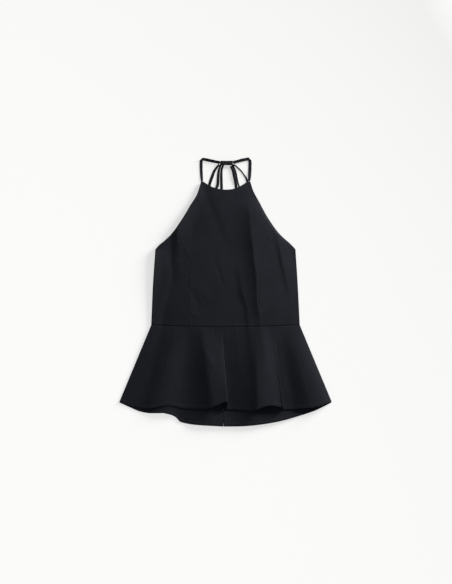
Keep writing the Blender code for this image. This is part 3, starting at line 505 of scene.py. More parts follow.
weaveTree = weaveGroup()
toneTree = toneGroup()


def clothMaterial(name, look):
    material = bpy.data.materials.new(name)
    material.use_nodes = True
    tree = material.node_tree
    shader = tree.nodes["Principled BSDF"]
    place = tree.nodes.new("ShaderNodeUVMap")
    place.uv_map = "clothMap"
    weave = tree.nodes.new("ShaderNodeGroup")
    weave.node_tree = weaveTree
    weave.inputs["Threads"].default_value = clothLook["threadsPerMetre"]
    tone = tree.nodes.new("ShaderNodeGroup")
    tone.node_tree = toneTree
    wearAndHighlight = tree.nodes.new("ShaderNodeAttribute")
    wearAndHighlight.attribute_name = "edgeWearAndHighlight"
    paintedSeamShade = tree.nodes.new("ShaderNodeAttribute")
    paintedSeamShade.attribute_name = "seamShade"
    for node in (weave, tone):
        tree.links.new(place.outputs[0], node.inputs["Vector"])
    # colour: lighter in slubs and uneven dye, painted light on thread tops with painted shade between them, lighter
    # along exposed edges (partly wear, partly a painted highlight), and painted shade down in the seams
    # painted light and shade of the weave: thread tops lighter, the gaps between them darker
    threads = mathNode(tree, "MULTIPLY", weave.outputs["Height"], 0.5)
    amount = mathNode(
        tree, "ADD", threads, mathNode(tree, "SUBTRACT", mathNode(tree, "MULTIPLY", tone.outputs["Tone"], 1.7), 0.6)
    )
    # exposed edges painted lighter: partly wear, partly a painted highlight
    amount = mathNode(tree, "ADD", amount, mathNode(tree, "MULTIPLY", wearAndHighlight.outputs["Fac"], 0.35))
    # painted shade: darker down in the seams, the waist seam and the slit
    amount = mathNode(tree, "SUBTRACT", amount, mathNode(tree, "MULTIPLY", paintedSeamShade.outputs["Fac"], 0.8))
    colours = tree.nodes.new("ShaderNodeMix")
    colours.data_type = "RGBA"
    colours.clamp_factor = True
    colours.inputs["A"].default_value = (*look["base"], 1)
    colours.inputs["B"].default_value = (*look["light"], 1)
    tree.links.new(amount, colours.inputs["Factor"])
    tree.links.new(colours.outputs["Result"], shader.inputs["Base Color"])
    rough = mathNode(tree, "ADD", mathNode(tree, "MULTIPLY", tone.outputs["Slub"], -0.16), look["roughness"] + 0.08)
    tree.links.new(rough, shader.inputs["Roughness"])
    relief = mathNode(tree, "ADD", weave.outputs["Height"], mathNode(tree, "MULTIPLY", tone.outputs["Slub"], 0.8))
    bump = tree.nodes.new("ShaderNodeBump")
    bump.inputs["Strength"].default_value = 0.55
    bump.inputs["Distance"].default_value = clothLook["weaveDepth"]
    tree.links.new(relief, bump.inputs["Height"])
    tree.links.new(bump.outputs["Normal"], shader.inputs["Normal"])
    shader.inputs["Specular IOR Level"].default_value = clothLook["specular"]
    shader.inputs["Sheen Weight"].default_value = clothLook["sheen"]
    shader.inputs["Sheen Roughness"].default_value = 0.5
    shader.inputs["Sheen Tint"].default_value = (0.72, 0.78, 1.0, 1)
    return material


def threadMaterial():
    # polyester sewing thread: twisted, a little shinier than the cloth
    material = bpy.data.materials.new("sewingThread")
    material.use_nodes = True
    tree = material.node_tree
    shader = tree.nodes["Principled BSDF"]
    place = tree.nodes.new("ShaderNodeTexCoord")
    twist = tree.nodes.new("ShaderNodeTexWave")
    twist.bands_direction = "DIAGONAL"
    twist.inputs["Scale"].default_value = 1400.0
    tree.links.new(place.outputs["Object"], twist.inputs["Vector"])
    # painted light and shade along the twist: its ridges lighter, its grooves darker
    ramp = tree.nodes.new("ShaderNodeValToRGB")
    ramp.color_ramp.elements[0].color = (0.008, 0.0085, 0.011, 1)
    ramp.color_ramp.elements[1].color = (0.024, 0.025, 0.031, 1)
    tree.links.new(twist.outputs["Fac"], ramp.inputs["Fac"])
    tree.links.new(ramp.outputs["Color"], shader.inputs["Base Color"])
    bump = tree.nodes.new("ShaderNodeBump")
    bump.inputs["Distance"].default_value = 0.00005
    tree.links.new(twist.outputs["Fac"], bump.inputs["Height"])
    tree.links.new(bump.outputs["Normal"], shader.inputs["Normal"])
    shader.inputs["Roughness"].default_value = 0.5
    shader.inputs["Specular IOR Level"].default_value = 0.35
    return material


materials = {
    "front_cloth": clothMaterial("frontCloth", clothLook["front"]),
    "back_cloth": clothMaterial("backCloth", clothLook["back"]),
    "tie_cloth": clothMaterial("tieCloth", clothLook["tie"]),
}
threadLook = threadMaterial()
print("shaders made")

# Pieces

knotCentre = (2.6, 341.4, 4.8)
knotLow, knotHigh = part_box("tie_knot")
shift = (knotLow + knotHigh) / 2 - Vector(knotCentre) * mm  # from the tables' place to the frame's


def toFrame(points):
    return np.asarray(points) * mm + np.array(shift)


def newObject(name, bm, material):
    data = bpy.data.meshes.new(name)
    bm.to_mesh(data)
    bm.free()
    data.materials.append(material)
    made = bpy.data.objects.new(name, data)
    bpy.context.scene.collection.objects.link(made)
    return made


def addPiece(name, bm, slotName, wall=0.0):
    piece = newObject(name, bm, materials[slotName])
    piece.data.shade_smooth()
    if wall:
        thickness = piece.modifiers.new("wall", "SOLIDIFY")
        thickness.thickness = wall * mm
        thickness.offset = -1
        thickness.use_even_offset = True
    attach(piece, "root")
    return piece


softness = [(0.36, 42), (0.09, 15)]  # height and size of the soft unevenness all over the cloth
cellGrowth = 1.3  # how much larger each cell is than the one before it, from an edge inwards


def netShares(length, cells, dense=()):
    # shares of an edge's length: small cells by its ends, larger ones between, and small ones over the dense spans
    steps = [cells["edge"]]
    while steps[-1] * cellGrowth < cells["middle"]:
        steps.append(steps[-1] * cellGrowth)
    ramp = np.concatenate([[0], np.cumsum(steps)])
    count = max(2, math.ceil((length - 2 * ramp[-1]) / cells["middle"]))
    between = np.linspace(ramp[-1], length - ramp[-1], count + 1)
    shares = np.concatenate([ramp[:-1], between, length - ramp[:-1][::-1]]) / length
    for start, end, cell in dense:
        shares = np.concatenate(
            [
                shares[shares < start],
                np.linspace(start, end, round((end - start) * length / cell)),
                shares[shares > end],
            ]
        )
    return shares


def clothPanel(name, edges, kinds, cells, place, slotName, seed, wall=1.1, dense=()):
    # edges are lines: low and high run left to right, left and right run upwards; kinds says how each is sewn
    us = netShares(max(lengthsAlong(edges[e])[-1] for e in ("low", "high")), cells, dense)
    vs = netShares(max(lengthsAlong(edges[e])[-1] for e in ("left", "right")), cells)
    low, high = atShares(edges["low"], us), atShares(edges["high"], us)
    left, right = atShares(edges["left"], vs), atShares(edges["right"], vs)
    u, v = us[None, :, None], vs[:, None, None]
    corners = (1 - u) * ((1 - v) * low[0] + v * high[0]) + u * ((1 - v) * low[-1] + v * high[-1])
    net = (1 - v) * low[None] + v * high[None] + (1 - u) * left[:, None] + u * right[:, None] - corners
    lines = {"low": low[None], "high": high[None], "left": left[:, None], "right": right[:, None]}
    away = {edge: np.linalg.norm(net - line, axis=2) for edge, line in lines.items()}
    x, y, z = place(net[:, :, 0], net[:, :, 1], np.broadcast_to(vs[:, None], net.shape[:2]))
    wearAndHighlight, shade = np.zeros(x.shape), np.zeros(x.shape)
    for i, (edge, kind) in enumerate(kinds.items()):
        row = edge in ("low", "high")
        travelled = lengthsAlong(lines[edge][0] if row else lines[edge][:, 0])
        along = np.broadcast_to(travelled[None, :] if row else travelled[:, None], x.shape)
        z = z + edgeRelief(kind, away[edge], along, seed + 3.7 * i)
        # exposed edges get a lighter band that is partly wear and partly a painted highlight
        if kind in exposedEdges:
            wearAndHighlight = np.maximum(wearAndHighlight, np.exp(-((away[edge] / 2.2) ** 2)))
        else:
            # sewn edges get painted shade beside them
            shade = np.maximum(shade, edgeKinds[kind]["shade"] * np.exp(-((away[edge] / 1.4) ** 2)))
    for k, (height, scale) in enumerate(softness):
        z = z + height * softNoise(x, y, scale, seed + 5 * k)
    z = np.maximum(z, wall)
    points = np.dstack([x, y, z])
    bm = bmesh.new()
    bmesh.ops.create_grid(bm, x_segments=len(us) - 1, y_segments=len(vs) - 1, size=0.5)
    placed = toFrame(points.reshape(-1, 3))
    wearAndHighlightLayer, shadeLayer = bm.verts.layers.float.new("edgeWearAndHighlight"), bm.verts.layers.float.new("seamShade")
    for vert, point, wornAndLit, dark in zip(bm.verts, placed, wearAndHighlight.ravel(), shade.ravel()):
        vert.co = point
        vert[wearAndHighlightLayer] = wornAndLit
        vert[shadeLayer] = dark
    mapCloth(bm, points)
    return addPiece(name, bm, slotName, wall), points


def mapCloth(bm, points):
    # the cloth's own map, in metres along and across it, so that the weave isn't stretched on slopes
    rows, columns = points.shape[:2]
    across = np.zeros((rows, columns))
    across[:, 1:] = np.cumsum(np.linalg.norm(np.diff(points, axis=1), axis=2), axis=1)
    across -= across[:, columns // 2][:, None]
    up = np.zeros((rows, columns))
    up[1:] = np.cumsum(np.linalg.norm(np.diff(points, axis=0), axis=2), axis=0)
    up -= up[rows // 2][None]
    us, vs = across.ravel() * mm, up.ravel() * mm
    layer = bm.loops.layers.uv.new("clothMap")
    bm.verts.index_update()
    for face in bm.faces:
        for loop in face.loops:
            k = loop.vert.index
            loop[layer].uv = (us[k], vs[k])


# Bodice

bodiceCells = {"edge": 0.5, "middle": 2.0}
backCells = {"edge": 0.6, "middle": 4.5}


def onFront(x, y, _):
    return x, y, frontHeight(x, y)


def onBack(x, y, _):
    return x, y, backHeight(x, y)


def seamEdge(hand, seam, sideways):
    line = beside(smoothLine(seam[hand]), sideways)[::-1]
    line[0, 1] = waistY(line[0, 0]) + outline["seamGap"] / 2
    return line


def waistEdge(xFrom, xTo, lift):
    xs = np.linspace(xFrom, xTo, 400)
    return np.column_stack([xs, waistY(xs) + lift])


def centreFront():
    gap = outline["seamGap"] / 2
    edges = {}
    for hand, sideways in (("left", gap), ("right", -gap)):
        lower = seamEdge(hand, princess, sideways)
        upper = smoothLine([tuple(lower[-1]), *reversed(armholeUpper[hand][:-1])])
        edges[hand] = np.vstack([lower, upper[1:]])
    edges["low"] = waistEdge(edges["left"][0, 0], edges["right"][0, 0], gap)
    edges["high"] = smoothLine(neckline)
    kinds = {"low": "waist", "high": "faced", "left": "centreSide", "right": "centreSide"}
    return clothPanel("bodice_front_center_cloth", edges, kinds, bodiceCells, onFront, "front_cloth", 1.0)


def sideFront(hand):
    gap = outline["seamGap"] / 2
    inner = seamEdge(hand, princess, -gap if hand == "left" else gap)
    outer = seamEdge(hand, side, 0)
    high = smoothLine([tuple(inner[-1]), *armholeLower[hand][1:]])
    isLeft = hand == "left"
    edges = {
        "left": outer if isLeft else inner,
        "right": inner if isLeft else outer,
        "high": high[::-1] if isLeft else high,
    }
    edges["low"] = waistEdge(edges["left"][0, 0], edges["right"][0, 0], gap)
    kinds = {"low": "waist", "high": "faced"}
    kinds["left"], kinds["right"] = ("side", "seam") if isLeft else ("seam", "side")
    return clothPanel(
        f"bodice_front_side_{hand}_cloth", edges, kinds, bodiceCells, onFront, "front_cloth", 11.0 if isLeft else 17.0
    )


def backBodice(hand):
    gap = outline["seamGap"] / 2
    isLeft = hand == "left"
    outer = smoothLine(side[hand])[::-1]
    outer[0, 1] = waistY(outer[0, 0]) + gap
    innerX = outline["centreBackX"] + (-gap if isLeft else gap)
    end = side["left"][0]
    topY = lambda x: end[1] - outline["backTopDip"] * (1 - (x / end[0]) ** 2)
    inner = smoothLine([(innerX, waistY(innerX) + gap), (innerX, topY(innerX))])
    edges = {"left": outer if isLeft else inner, "right": inner if isLeft else outer}
    edges["low"] = waistEdge(edges["left"][0, 0], edges["right"][0, 0], gap)
    xs = np.linspace(edges["left"][-1, 0], edges["right"][-1, 0], 200)
    edges["high"] = np.column_stack([xs, topY(xs)])
    edges["high"][0], edges["high"][-1] = edges["left"][-1], edges["right"][-1]
    kinds = {"low": "plain", "high": "plain", "left": "plain", "right": "plain"}
    return clothPanel(
        f"bodice_back_{hand}_cloth", edges, kinds, backCells, onBack, "back_cloth", 23.0 if isLeft else 29.0, 1.2
    )


# The centre panel's long edges are a seam up to the armhole and a faced edge above it; here their whole length is
# given the seam's kind.
edgeKinds["centreSide"] = dict(edgeKinds["seam"])

bodice = {"center": centreFront()}
for hand in ("left", "right"):
    bodice[f"side_{hand}"] = sideFront(hand)
    bodice[f"back_{hand}"] = backBodice(hand)
print("bodice made")

# Peplum

peplumCells = {"edge": 0.5, "middle": 1.9}
fluteWalls = [(0.466, 0.514, 0.7), (0.758, 0.822, 1.0)]  # shares across the front peplum, and the cells there
backPeplumCells = {"edge": 0.5, "middle": 2.8}


def atWaist(x, v):
    # where a line of the flare that passes through x leaves the waist seam
    waistHalf, hemHalf = outline["waistHalf"], outline["hemHalf"]
    return x * waistHalf / (waistHalf + (hemHalf - waistHalf) * v)


def onFrontPeplum(x, y, up):
    v = 1 - up
    waistX = atWaist(x, v)
    height, lift, lean = fluteForm(flutes, x, v, growth["front"])
    carried = frontHeight(waistX, waistY(waistX)) - frontTop
    form = frontTop + carried * (1 - v) ** 2 + height + creaseHeight(x, y, peplumFolds)
    return x + lean, y + lift, softFloor(form, frontTop)


def onBackPeplum(x, y, up):
    v = 1 - up
    waistX = atWaist(x, v)
    height, lift, _ = fluteForm(ripples, x, v, growth["back"])
    carried = (backHeight(waistX, waistY(waistX)) - backTop) * (1 - v) ** 2
    beyond = smoothStep((np.interp(x, *np.array(frontHem).T) - y) / hemLift["reach"])
    fromLeft, fromRight = x - hemLift["left"][0], hemLift["right"][0] - x
    beyond = beyond * smoothStep(fromLeft / hemLift["left"][1]) * smoothStep(fromRight / hemLift["right"][1])
    return x, y + lift, backTop + carried + height * (1 - hemLift["settle"] * beyond) + hemLift["height"] * beyond


def frontPeplum():
    gap = outline["seamGap"] / 2
    edges = {"high": waistEdge(-outline["waistHalf"], outline["waistHalf"], -gap), "low": smoothLine(frontHem)}
    for edge, end in (("left", 0), ("right", -1)):
        edges[edge] = smoothLine([tuple(edges["low"][end]), tuple(edges["high"][end])])
    kinds = {"low": "hem", "high": "waistLow", "left": "side", "right": "side"}
    return clothPanel(
        "peplum_front_cloth", edges, kinds, peplumCells, onFrontPeplum, "front_cloth", 37.0, dense=fluteWalls
    )


def backPeplum(hand):
    gap = outline["seamGap"] / 2
    isLeft = hand == "left"
    sign = -1 if isLeft else 1
    table = np.array(slit)[::-1]
    ys = np.linspace(min(p[1] for p in backHem), waistY(outline["centreBackX"]) - gap, 300)
    xs = np.interp(ys, table[:, 0], table[:, 1]) + sign / 2 * np.interp(ys, table[:, 0], table[:, 2])
    inner = np.column_stack([xs, ys])
    hem = [p for p in backHem if abs(p[0]) > 30 and (p[0] < 0) == isLeft]
    low = smoothLine([*hem, tuple(inner[0])] if isLeft else [tuple(inner[0]), *hem])
    corner = low[0] if isLeft else low[-1]
    outer = smoothLine([tuple(corner), (math.copysign(outline["waistHalf"], corner[0]), outline["waistY"] - gap)])
    edges = {"low": low, "left": outer if isLeft else inner, "right": inner if isLeft else outer}
    edges["high"] = waistEdge(edges["left"][-1, 0], edges["right"][-1, 0], -gap)
    kinds = {"low": "turned", "high": "plain"}
    kinds["left"], kinds["right"] = ("plain", "slit") if isLeft else ("slit", "plain")
    return clothPanel(
        f"peplum_back_{hand}_cloth", edges, kinds, backPeplumCells, onBackPeplum, "back_cloth",
        43.0 if isLeft else 47.0, 1.2,
    )


# The back peplum shows its inside: its hem and slit are turned up, stitched and thicker there.
edgeKinds["turned"] = dict(
    roll=0.3, rollWidth=0.8, fold=10.0, raised=0.5, stitchAt=8.4, pucker=0.2, wave=13.0, shade=0.0,
)
edgeKinds["slit"] = dict(
    roll=0.15, rollWidth=1.0, fold=8.0, raised=0.3, stitchAt=6.6, pucker=0.12, wave=13.0, shade=1.4,
)

peplum = {"front": frontPeplum(), "back_left": backPeplum("left"), "back_right": backPeplum("right")}
print("peplum made")

# Stitches

stitchLook = {"pitch": 3.0, "length": 2.3, "radius": 0.2, "sink": 0.02}


def lineInside(points, edge, distance):
    # the line on a panel's surface this far inside one of its edges
    net = points if edge in ("low", "high") else points.transpose(1, 0, 2)
    net = net if edge in ("low", "left") else net[::-1]
    away = np.linalg.norm(net - net[:1], axis=2)
    found = []
    for k in range(net.shape[1]):
        found.append([np.interp(distance, away[:, k], net[:, k, i]) for i in range(3)])
    return np.array(found)


def addStitches(name, lines, trim=3.0):
    bm = bmesh.new()
    for line in lines:
        travelled = lengthsAlong(line, 3)
        starts = np.arange(trim, travelled[-1] - trim - stitchLook["length"], stitchLook["pitch"])
        first = atLengths(line, starts, 3)
        last = atLengths(line, starts + stitchLook["length"], 3)
        for a, b in zip(first, last):
            along = Vector(b - a).normalized()
            across = Vector((0, 0, 1)).cross(along).normalized()
            up = along.cross(across)
            size = (stitchLook["length"] / 2, stitchLook["radius"], stitchLook["radius"] * 0.8)
            turn = Matrix([[along[i] * size[0], across[i] * size[1], up[i] * size[2]] for i in range(3)]).to_4x4()
            middle = Vector((a + b) / 2) + up * stitchLook["sink"]
            place = Matrix.Translation(Vector(toFrame(middle))) @ Matrix.Scale(mm, 4) @ turn
            place = place @ Matrix.Rotation(math.pi / 2, 4, "Y")
            bmesh.ops.create_uvsphere(bm, u_segments=6, v_segments=4, radius=1, matrix=place)
    bmesh.ops.recalc_face_normals(bm, faces=bm.faces)
    piece = newObject(name, bm, threadLook)
    piece.data.shade_smooth()
    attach(piece, "root")
    return piece


def stitchLine(panel, edge, kind):
    return lineInside(panel[1], edge, edgeKinds[kind]["stitchAt"])


waistPanels = [bodice[k] for k in ("side_left", "center", "side_right")]
stitches = {
    "peplum_front": addStitches("peplum_front_hem_stitches", [stitchLine(peplum["front"], "low", "hem")]),
    "waist": addStitches("waist_stitches", [stitchLine(panel, "low", "waist") for panel in waistPanels]),
}
for hand, slitEdge in (("left", "right"), ("right", "left")):
    half = peplum[f"back_{hand}"]
    lines = [stitchLine(half, "low", "turned"), stitchLine(half, slitEdge, "slit")]
    stitches[f"back_{hand}"] = addStitches(f"peplum_back_{hand}_stitches", lines)
print("stitches made")

# Ties: flattened tubes of cloth, swept along their stations and folded where the strap turns

tieShape = {
    "thick": 1.4,
    "wall": 0.35,
    "around": 20,  # cells round it
    "spacing": 1.6,
    "bend": 0.85,
    "unevenWidth": 0.05,
    "unevenTilt": 7,  # degrees
}
rest = 0.7  # height of a tie's middle where it lies on the surface
over = 2.4
above = 4.1
straps = {  # x, y, z, width and roll of each station, up to the fold and on from it
    "strap_left": (
        [(-62.6, 292.6, 0.9, 5.2, 0), (-63.0, 298, rest, 6.2, 0), (-63.8, 307, rest, 7.4, 0),
         (-64.6, 322, rest, 8.0, 0), (-65.0, 338, rest, 8.0, 0), (-65.0, 350.2, rest, 8.0, 0)],
        [(-56, 351.4, over, 8.1, 6), (-46, 349.2, 3.3, 8.2, 14), (-34, 346.5, 3.5, 8.2, 18),
         (-24, 344.5, 3.6, 8.0, 18), (-14.8, 342.8, 3.9, 8.4, 12)],
    ),
    "strap_right": (
        [(62.4, 293.6, 2.9, 6.0, 0), (63.6, 303, 2.7, 7.8, 0), (64.6, 320, rest, 8.8, 0),
         (65.2, 338, rest, 8.8, 0), (65.3, 350.6, rest, 8.8, 0)],
        [(56, 351.8, over, 8.1, -6), (46, 349.9, 3.3, 8.2, -14), (36, 347.2, 3.5, 8.2, -18),
         (28, 345.0, 3.6, 8.0, -18), (20.0, 343.0, 3.9, 8.4, -12)],
    ),
}
loops = {
    "bow_loop_left": (
        [(-17.0, 337.2, over, 5.2, 0), (-22.2, 331.4, rest + 0.6, 5.8, 0), (-30.2, 319.6, rest, 7.0, 0),
         (-36, 304, rest, 8.2, 0), (-42.0, 286, rest, 7.8, 0), (-43.8, 264, rest, 7.6, 0),
         (-40.5, 243, rest, 7.0, 0)],
        [(-32.4, 262, over, 7.0, 0), (-21.6, 281, over - 0.6, 7.8, 0), (-19.8, 302.6, rest, 7.4, 0),
         (-18.4, 319, rest, 6.6, 0),
         (-15.6, 329.4, rest, 5.6, 0), (-12.2, 338, rest, 5.0, 0)],
    ),
    "bow_loop_right": (
        [(21.6, 337.0, above, 4.4, 0), (26.0, 334.4, above - 0.8, 4.4, 0), (32.2, 329.6, rest + 0.6, 4.0, 0),
         (41.4, 321.0, rest, 3.8, 0),
         (49.0, 310.6, rest, 3.8, 0), (56.6, 297, rest, 5.6, 0), (59.6, 279, rest, 7.0, 0),
         (53, 244, rest, 7.0, 0)],
        [(42, 262, over, 5.8, 0), (34.6, 283, over - 0.6, 4.4, 0), (30.6, 301, rest, 4.2, 0),
         (27.2, 317, rest, 4.6, 0),
         (22.6, 328.4, rest, 5.2, 0), (18.6, 338, rest, 5.2, 0)],
    ),
}
tails = {
    "tie_tail_left": [(-5.6, 338, rest, 5.0, 0), (-8.5, 330.6, rest, 5.4, 0), (-10.7, 321, rest, 6.2, 0),
                      (-11.2, 302.6, rest, 7.2, 0),
                      (-10.6, 272.7, rest, 7.6, 0), (-11.4, 230, rest, 7.0, 0), (-17, 190, rest, 6.8, 0),
                      (-14, 160, rest, 6.8, 0)],
    "tie_tail_right": [(14.2, 333.8, over, 7.0, 0), (15.8, 330.6, over, 7.6, 0), (20.0, 322, over, 8.0, 0),
                       (22.6, 308.7, over, 8.0, 0),
                       (26, 293, over - 0.6, 8.0, 0), (28, 274, rest, 7.4, 0), (25, 230, rest, 6.8, 0),
                       (32, 190, rest, 6.8, 0), (30, 152, rest, 6.8, 0)],
}


def foldBetween(before, after):
    # the crease where a strap turns back on itself halves the angle between its two legs
    before, after = np.array(before, float), np.array(after, float)
    arriving = before[-1, :2] - before[-2, :2]
    leaving = after[0, :2] - before[-1, :2]
    turn = arriving / np.linalg.norm(arriving) - leaving / np.linalg.norm(leaving)
    return {
        "normal": turn / np.linalg.norm(turn),
        "at": before[-1, :2],
        "height": before[-1, 2],
        "length": math.pi * tieShape["bend"],
    }


def unfolded(rows, fold):
    rows = np.array(rows, float)
    away = (rows[:, :2] - fold["at"]) @ fold["normal"]
    rows[:, :2] += np.outer(fold["length"] - 2 * away, fold["normal"])
    rows[:, 2] = 2 * (fold["height"] + tieShape["bend"]) - rows[:, 2]
    return rows


def folded(points, fold):
    bend = tieShape["bend"]
    xy, z = points[..., :2], points[..., 2]
    past = (xy - fold["at"]) @ fold["normal"]
    turned = np.clip(past, 0, fold["length"]) / bend
    curl = bend - (z - fold["height"])
    out = np.where(past < fold["length"], curl * np.sin(turned), fold["length"] - past)
    high = np.where(
        past < fold["length"], fold["height"] + bend - curl * np.cos(turned), 2 * (fold["height"] + bend) - z
    )
    beyond = past > 0
    xy = np.where(beyond[..., None], xy + (out - past)[..., None] * fold["normal"], xy)
    return np.dstack([xy, np.where(beyond, high, z)])


def tieSection(width, share):
    # across and up, round a flattened tube with rounded edges
    angle = 2 * math.pi * share
    c, s = math.cos(angle), math.sin(angle)
    across = width / 2 * math.copysign(abs(c) ** 0.55, c)
    up = tieShape["thick"] / 2 * math.copysign(abs(s) ** 0.8, s)
    return across, up


def makeTie(name, before, after=()):
    fold = foldBetween(before, after) if after else None
    rows = np.vstack([np.array(before, float), unfolded(after, fold)]) if fold else np.array(before, float)
    line = smoothLine(rows, 0.5)
    total = lengthsAlong(line)[-1]
    lengths = np.linspace(0, total, round(total / tieShape["spacing"]) + 1)
    crossing = None
    if fold:
        past = (line[:, :2] - fold["at"]) @ fold["normal"]
        crossing = float(lengthsAlong(line)[np.argmax(past > 0)]) + fold["length"] / 2
        close = np.linspace(crossing - 2.4, crossing + 2.4, 20)
        clear = (lengths < close[0] - 0.5) | (lengths > close[-1] + 0.5)
        lengths = np.sort(np.concatenate([lengths[clear], close]))
    stations = atLengths(line, lengths)
    heading = atLengths(np.column_stack([line[:, :2], np.gradient(line[:, :2], axis=0)]), lengths)[:, 2:]
    heading /= np.linalg.norm(heading, axis=1)[:, None]
    seed = len(name) + before[0][0]
    around = tieShape["around"]
    points = np.zeros((len(lengths), around + 1, 3))
    for row, (length, (x, y, z, width, roll), along) in enumerate(zip(lengths, stations, heading)):
        across = np.array([-along[1], along[0]])
        slant = 0.0
        if fold:  # near the crease the rings lie along it, so that the fold falls between them
            near = min(max(2 - abs(length - crossing) / 5.0, 0), 1)
            slant = -near * (across @ fold["normal"]) / (along @ fold["normal"])
        width *= 1 + tieShape["unevenWidth"] * noise.noise((length / 9, seed, 0.0))
        tilt = math.radians(roll + tieShape["unevenTilt"] * noise.noise((length / 14, seed, 4.0)))
        for k in range(around + 1):
            a, up = tieSection(width, k / around)
            spot = np.array([x, y]) + (a * math.cos(tilt) - up * math.sin(tilt)) * (across + slant * along)
            points[row, k] = (*spot, z + a * math.sin(tilt) + up * math.cos(tilt))
    flat = points.copy()
    if fold:
        points = folded(points, fold)
    points[..., 2] = np.maximum(points[..., 2], 0)
    bm = bmesh.new()
    bmesh.ops.create_grid(bm, x_segments=around, y_segments=len(lengths) - 1, size=0.5)
    wearAndHighlightLayer = bm.verts.layers.float.new("edgeWearAndHighlight")
    bm.verts.layers.float.new("seamShade")
    placed = toFrame(points.reshape(-1, 3))
    # the tie's two folded edges are painted lighter: partly wear, partly a painted highlight
    for index, (vert, point) in enumerate(zip(bm.verts, placed)):
        vert.co = point
        vert[wearAndHighlightLayer] = abs(math.cos(2 * math.pi * (index % (around + 1)) / around)) ** 6
    mapCloth(bm, flat)
    bmesh.ops.remove_doubles(bm, verts=bm.verts, dist=1e-6)
    bmesh.ops.holes_fill(bm, edges=[edge for edge in bm.edges if edge.is_boundary], sides=0)
    bmesh.ops.recalc_face_normals(bm, faces=bm.faces)
    return addPiece(f"{name}_cloth", bm, "tie_cloth", tieShape["wall"])


ties = {}
for name, (before, after) in {**straps, **loops}.items():
    ties[name] = makeTie(name, before, after)
for name, stations in tails.items():
    ties[name] = makeTie(name, stations)
print("ties made")

# Knot: a core with the strap wound along it

knotShape = {
    "core": (16.9, 6.0, 2.8),
    "waist": 0.1,  # how much slimmer it is in the middle
    "square": 0.4,  # 1 is round, and less is squarer
    "wrinkle": 0.05,
    "crown": 0.6,  # how far a wrap bulges over its width
    "wraps": [
        dict(x=-10.6, y=6.1, z=2.9, width=11.0, slant=0.8), dict(x=-0.2, y=6.0, z=2.8, width=10.4, slant=-1.8),
        dict(x=10.4, y=6.1, z=2.9, width=11.0, slant=0.8),
    ],
}


def makeKnot():
    bm = bmesh.new()
    bmesh.ops.create_uvsphere(bm, u_segments=48, v_segments=24, radius=1)
    for vert in bm.verts:
        wrinkle = 1 + knotShape["wrinkle"] * noise.noise((vert.co.x * 5, vert.co.y * 1.2, vert.co.z * 3))
        square = Vector(math.copysign(abs(c) ** knotShape["square"], c) for c in vert.co)
        vert.co = Vector(c * h * wrinkle for c, h in zip(square, knotShape["core"]))
    for wrap in knotShape["wraps"]:
        made = bmesh.ops.create_grid(bm, x_segments=12, y_segments=48, size=0.5)["verts"]
        for vert in made:
            u, v = vert.co.x, vert.co.y + 0.5
            turn = 2 * math.pi * v
            crown = knotShape["crown"] * (1 - (2 * u) ** 4) + 0.12 * noise.noise((u * 5, v * 4, wrap["x"]))
            vert.co = (
                wrap["x"] + u * wrap["width"] * (1 + 0.1 * math.cos(2 * turn)) + wrap["slant"] * math.cos(turn),
                (wrap["y"] + crown - 0.5) * math.cos(turn),
                (wrap["z"] + crown - 0.5) * math.sin(turn),
            )
    bmesh.ops.remove_doubles(bm, verts=bm.verts, dist=1e-4)
    bmesh.ops.recalc_face_normals(bm, faces=bm.faces)
    layer = bm.loops.layers.uv.new("clothMap")
    bm.verts.layers.float.new("edgeWearAndHighlight")
    bm.verts.layers.float.new("seamShade")
    for face in bm.faces:
        for loop in face.loops:
            x, y, z = loop.vert.co
            loop[layer].uv = (x * mm, math.atan2(z, y) * 5 * mm)
    centre = Vector(toFrame(knotCentre))
    for vert in bm.verts:
        slim = 1 - knotShape["waist"] * math.exp(-((vert.co.x / 8) ** 2))
        vert.co = centre + Vector((vert.co.x, vert.co.y * slim, vert.co.z)) * mm
        vert.co.z = max(vert.co.z, 0)
    return addPiece("tie_knot_cloth", bm, "tie_cloth")


ties["tie_knot"] = makeKnot()
print("knot made")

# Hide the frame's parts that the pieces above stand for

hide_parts("bodice_front_center")
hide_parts("peplum_front")
for hand in ("left", "right"):
    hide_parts(f"bodice_front_side_{hand}")
    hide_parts(f"bodice_back_{hand}")
    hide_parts(f"peplum_back_{hand}")
for name, piece in ties.items():
    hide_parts(name)

# Floor, light and camera

studio = {
    # degrees, degrees, metres, metres and share of the floor's light
    "box": dict(around=38, up=15, away=2.5, size=0.95, share=0.66),
    "boxColour": (1.0, 0.99, 0.97),
    "skyColour": (0.95, 0.97, 1.0),
    "floorLight": 1.085,
    "floorColour": (0.36, 0.36, 0.36),
    "floorBright": 0.974,  # how bright the board looks all over, in front of the light's fall-off
    "floorTint": (1.0, 1.0, 0.988),
    "cameraHeight": 88.0,
    "cameraDistance": 2.7,
    "lens": 62.8,
    "lookAt": (0.0013, -0.0016, 0.0),
}


def towardsBox():
    around, above = math.radians(studio["box"]["around"]), math.radians(studio["box"]["up"])
    return Vector((math.cos(above) * math.cos(around), math.cos(above) * math.sin(around), math.sin(above)))


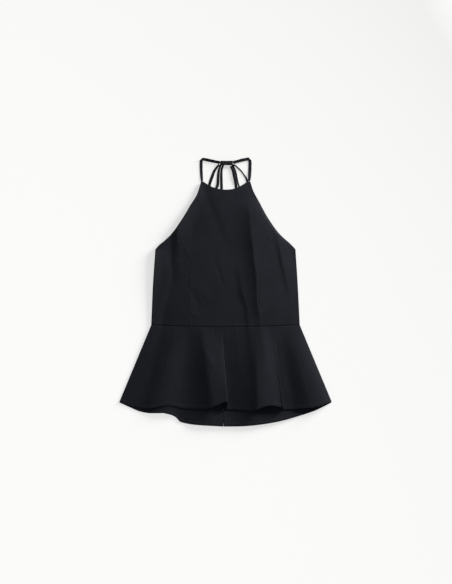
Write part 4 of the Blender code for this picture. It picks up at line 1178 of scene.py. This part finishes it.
def addFloor():
    bm = bmesh.new()
    bmesh.ops.create_grid(bm, x_segments=1, y_segments=1, size=6)
    bmesh.ops.translate(bm, verts=bm.verts, vec=(0, 0, -0.0001))
    material = bpy.data.materials.new("paleBoard")
    material.use_nodes = True
    tree = material.node_tree
    shader = tree.nodes["Principled BSDF"]
    place = tree.nodes.new("ShaderNodeTexCoord")
    grain = tree.nodes.new("ShaderNodeTexNoise")
    grain.inputs["Scale"].default_value = 300.0
    tree.links.new(place.outputs["Object"], grain.inputs["Vector"])
    shader.inputs["Base Color"].default_value = (*studio["floorColour"], 1)
    shader.inputs["Specular IOR Level"].default_value = 0.0
    # the board's own glow makes up for the light's fall-off, so that it looks as bright everywhere
    box = studio["box"]
    apart = tree.nodes.new("ShaderNodeVectorMath")
    apart.operation = "DISTANCE"
    tree.links.new(place.outputs["Object"], apart.inputs[0])
    apart.inputs[1].default_value = towardsBox() * box["away"]
    lit = mathNode(tree, "POWER", mathNode(tree, "DIVIDE", apart.outputs["Value"], box["away"]), -3.0)
    shown = studio["floorColour"][0] * studio["floorLight"]
    lit = mathNode(tree, "ADD", mathNode(tree, "MULTIPLY", lit, box["share"]), 1 - box["share"])
    lit = mathNode(tree, "MULTIPLY", lit, shown)
    glow = tree.nodes.new("ShaderNodeVectorMath")
    glow.operation = "SCALE"
    glow.inputs[0].default_value = studio["floorTint"]
    missing = mathNode(tree, "MAXIMUM", mathNode(tree, "SUBTRACT", studio["floorBright"], lit), 0.0)
    tree.links.new(missing, glow.inputs["Scale"])
    tree.links.new(glow.outputs[0], shader.inputs["Emission Color"])
    shader.inputs["Emission Strength"].default_value = 1.0
    bump = tree.nodes.new("ShaderNodeBump")
    bump.inputs["Strength"].default_value = 0.1
    bump.inputs["Distance"].default_value = 0.0001
    tree.links.new(grain.outputs["Fac"], bump.inputs["Height"])
    tree.links.new(bump.outputs["Normal"], shader.inputs["Normal"])
    newObject("floor", bm, material)


def addLight():
    box = studio["box"]
    towards = towardsBox()
    data = bpy.data.lights.new("softBox", "AREA")
    data.shape = "DISK"
    data.size = box["size"]
    data.energy = (math.pi * box["away"]) ** 2 * studio["floorLight"] * box["share"] / towards.z
    data.color = studio["boxColour"]
    lamp = bpy.data.objects.new("softBox", data)
    lamp.location = towards * box["away"]
    lamp.rotation_mode = "QUATERNION"
    lamp.rotation_quaternion = towards.to_track_quat("Z", "Y")
    bpy.context.scene.collection.objects.link(lamp)
    world = bpy.data.worlds.new("studio")
    world.use_nodes = True
    background = world.node_tree.nodes["Background"]
    background.inputs["Color"].default_value = (*studio["skyColour"], 1)
    background.inputs["Strength"].default_value = studio["floorLight"] * (1 - box["share"])
    bpy.context.scene.world = world


def addCamera():
    data = bpy.data.cameras.new("camera")
    data.lens = studio["lens"]
    camera = bpy.data.objects.new("camera", data)
    high = math.radians(studio["cameraHeight"])
    back = Vector((0, -math.cos(high), math.sin(high)))
    camera.location = Vector(studio["lookAt"]) + back * studio["cameraDistance"]
    camera.rotation_mode = "QUATERNION"
    camera.rotation_quaternion = back.to_track_quat("Z", "Y")
    bpy.context.scene.collection.objects.link(camera)
    bpy.context.scene.camera = camera


addFloor()
addLight()
addCamera()
bpy.context.scene.view_settings.view_transform = "Standard"
print("studio made")
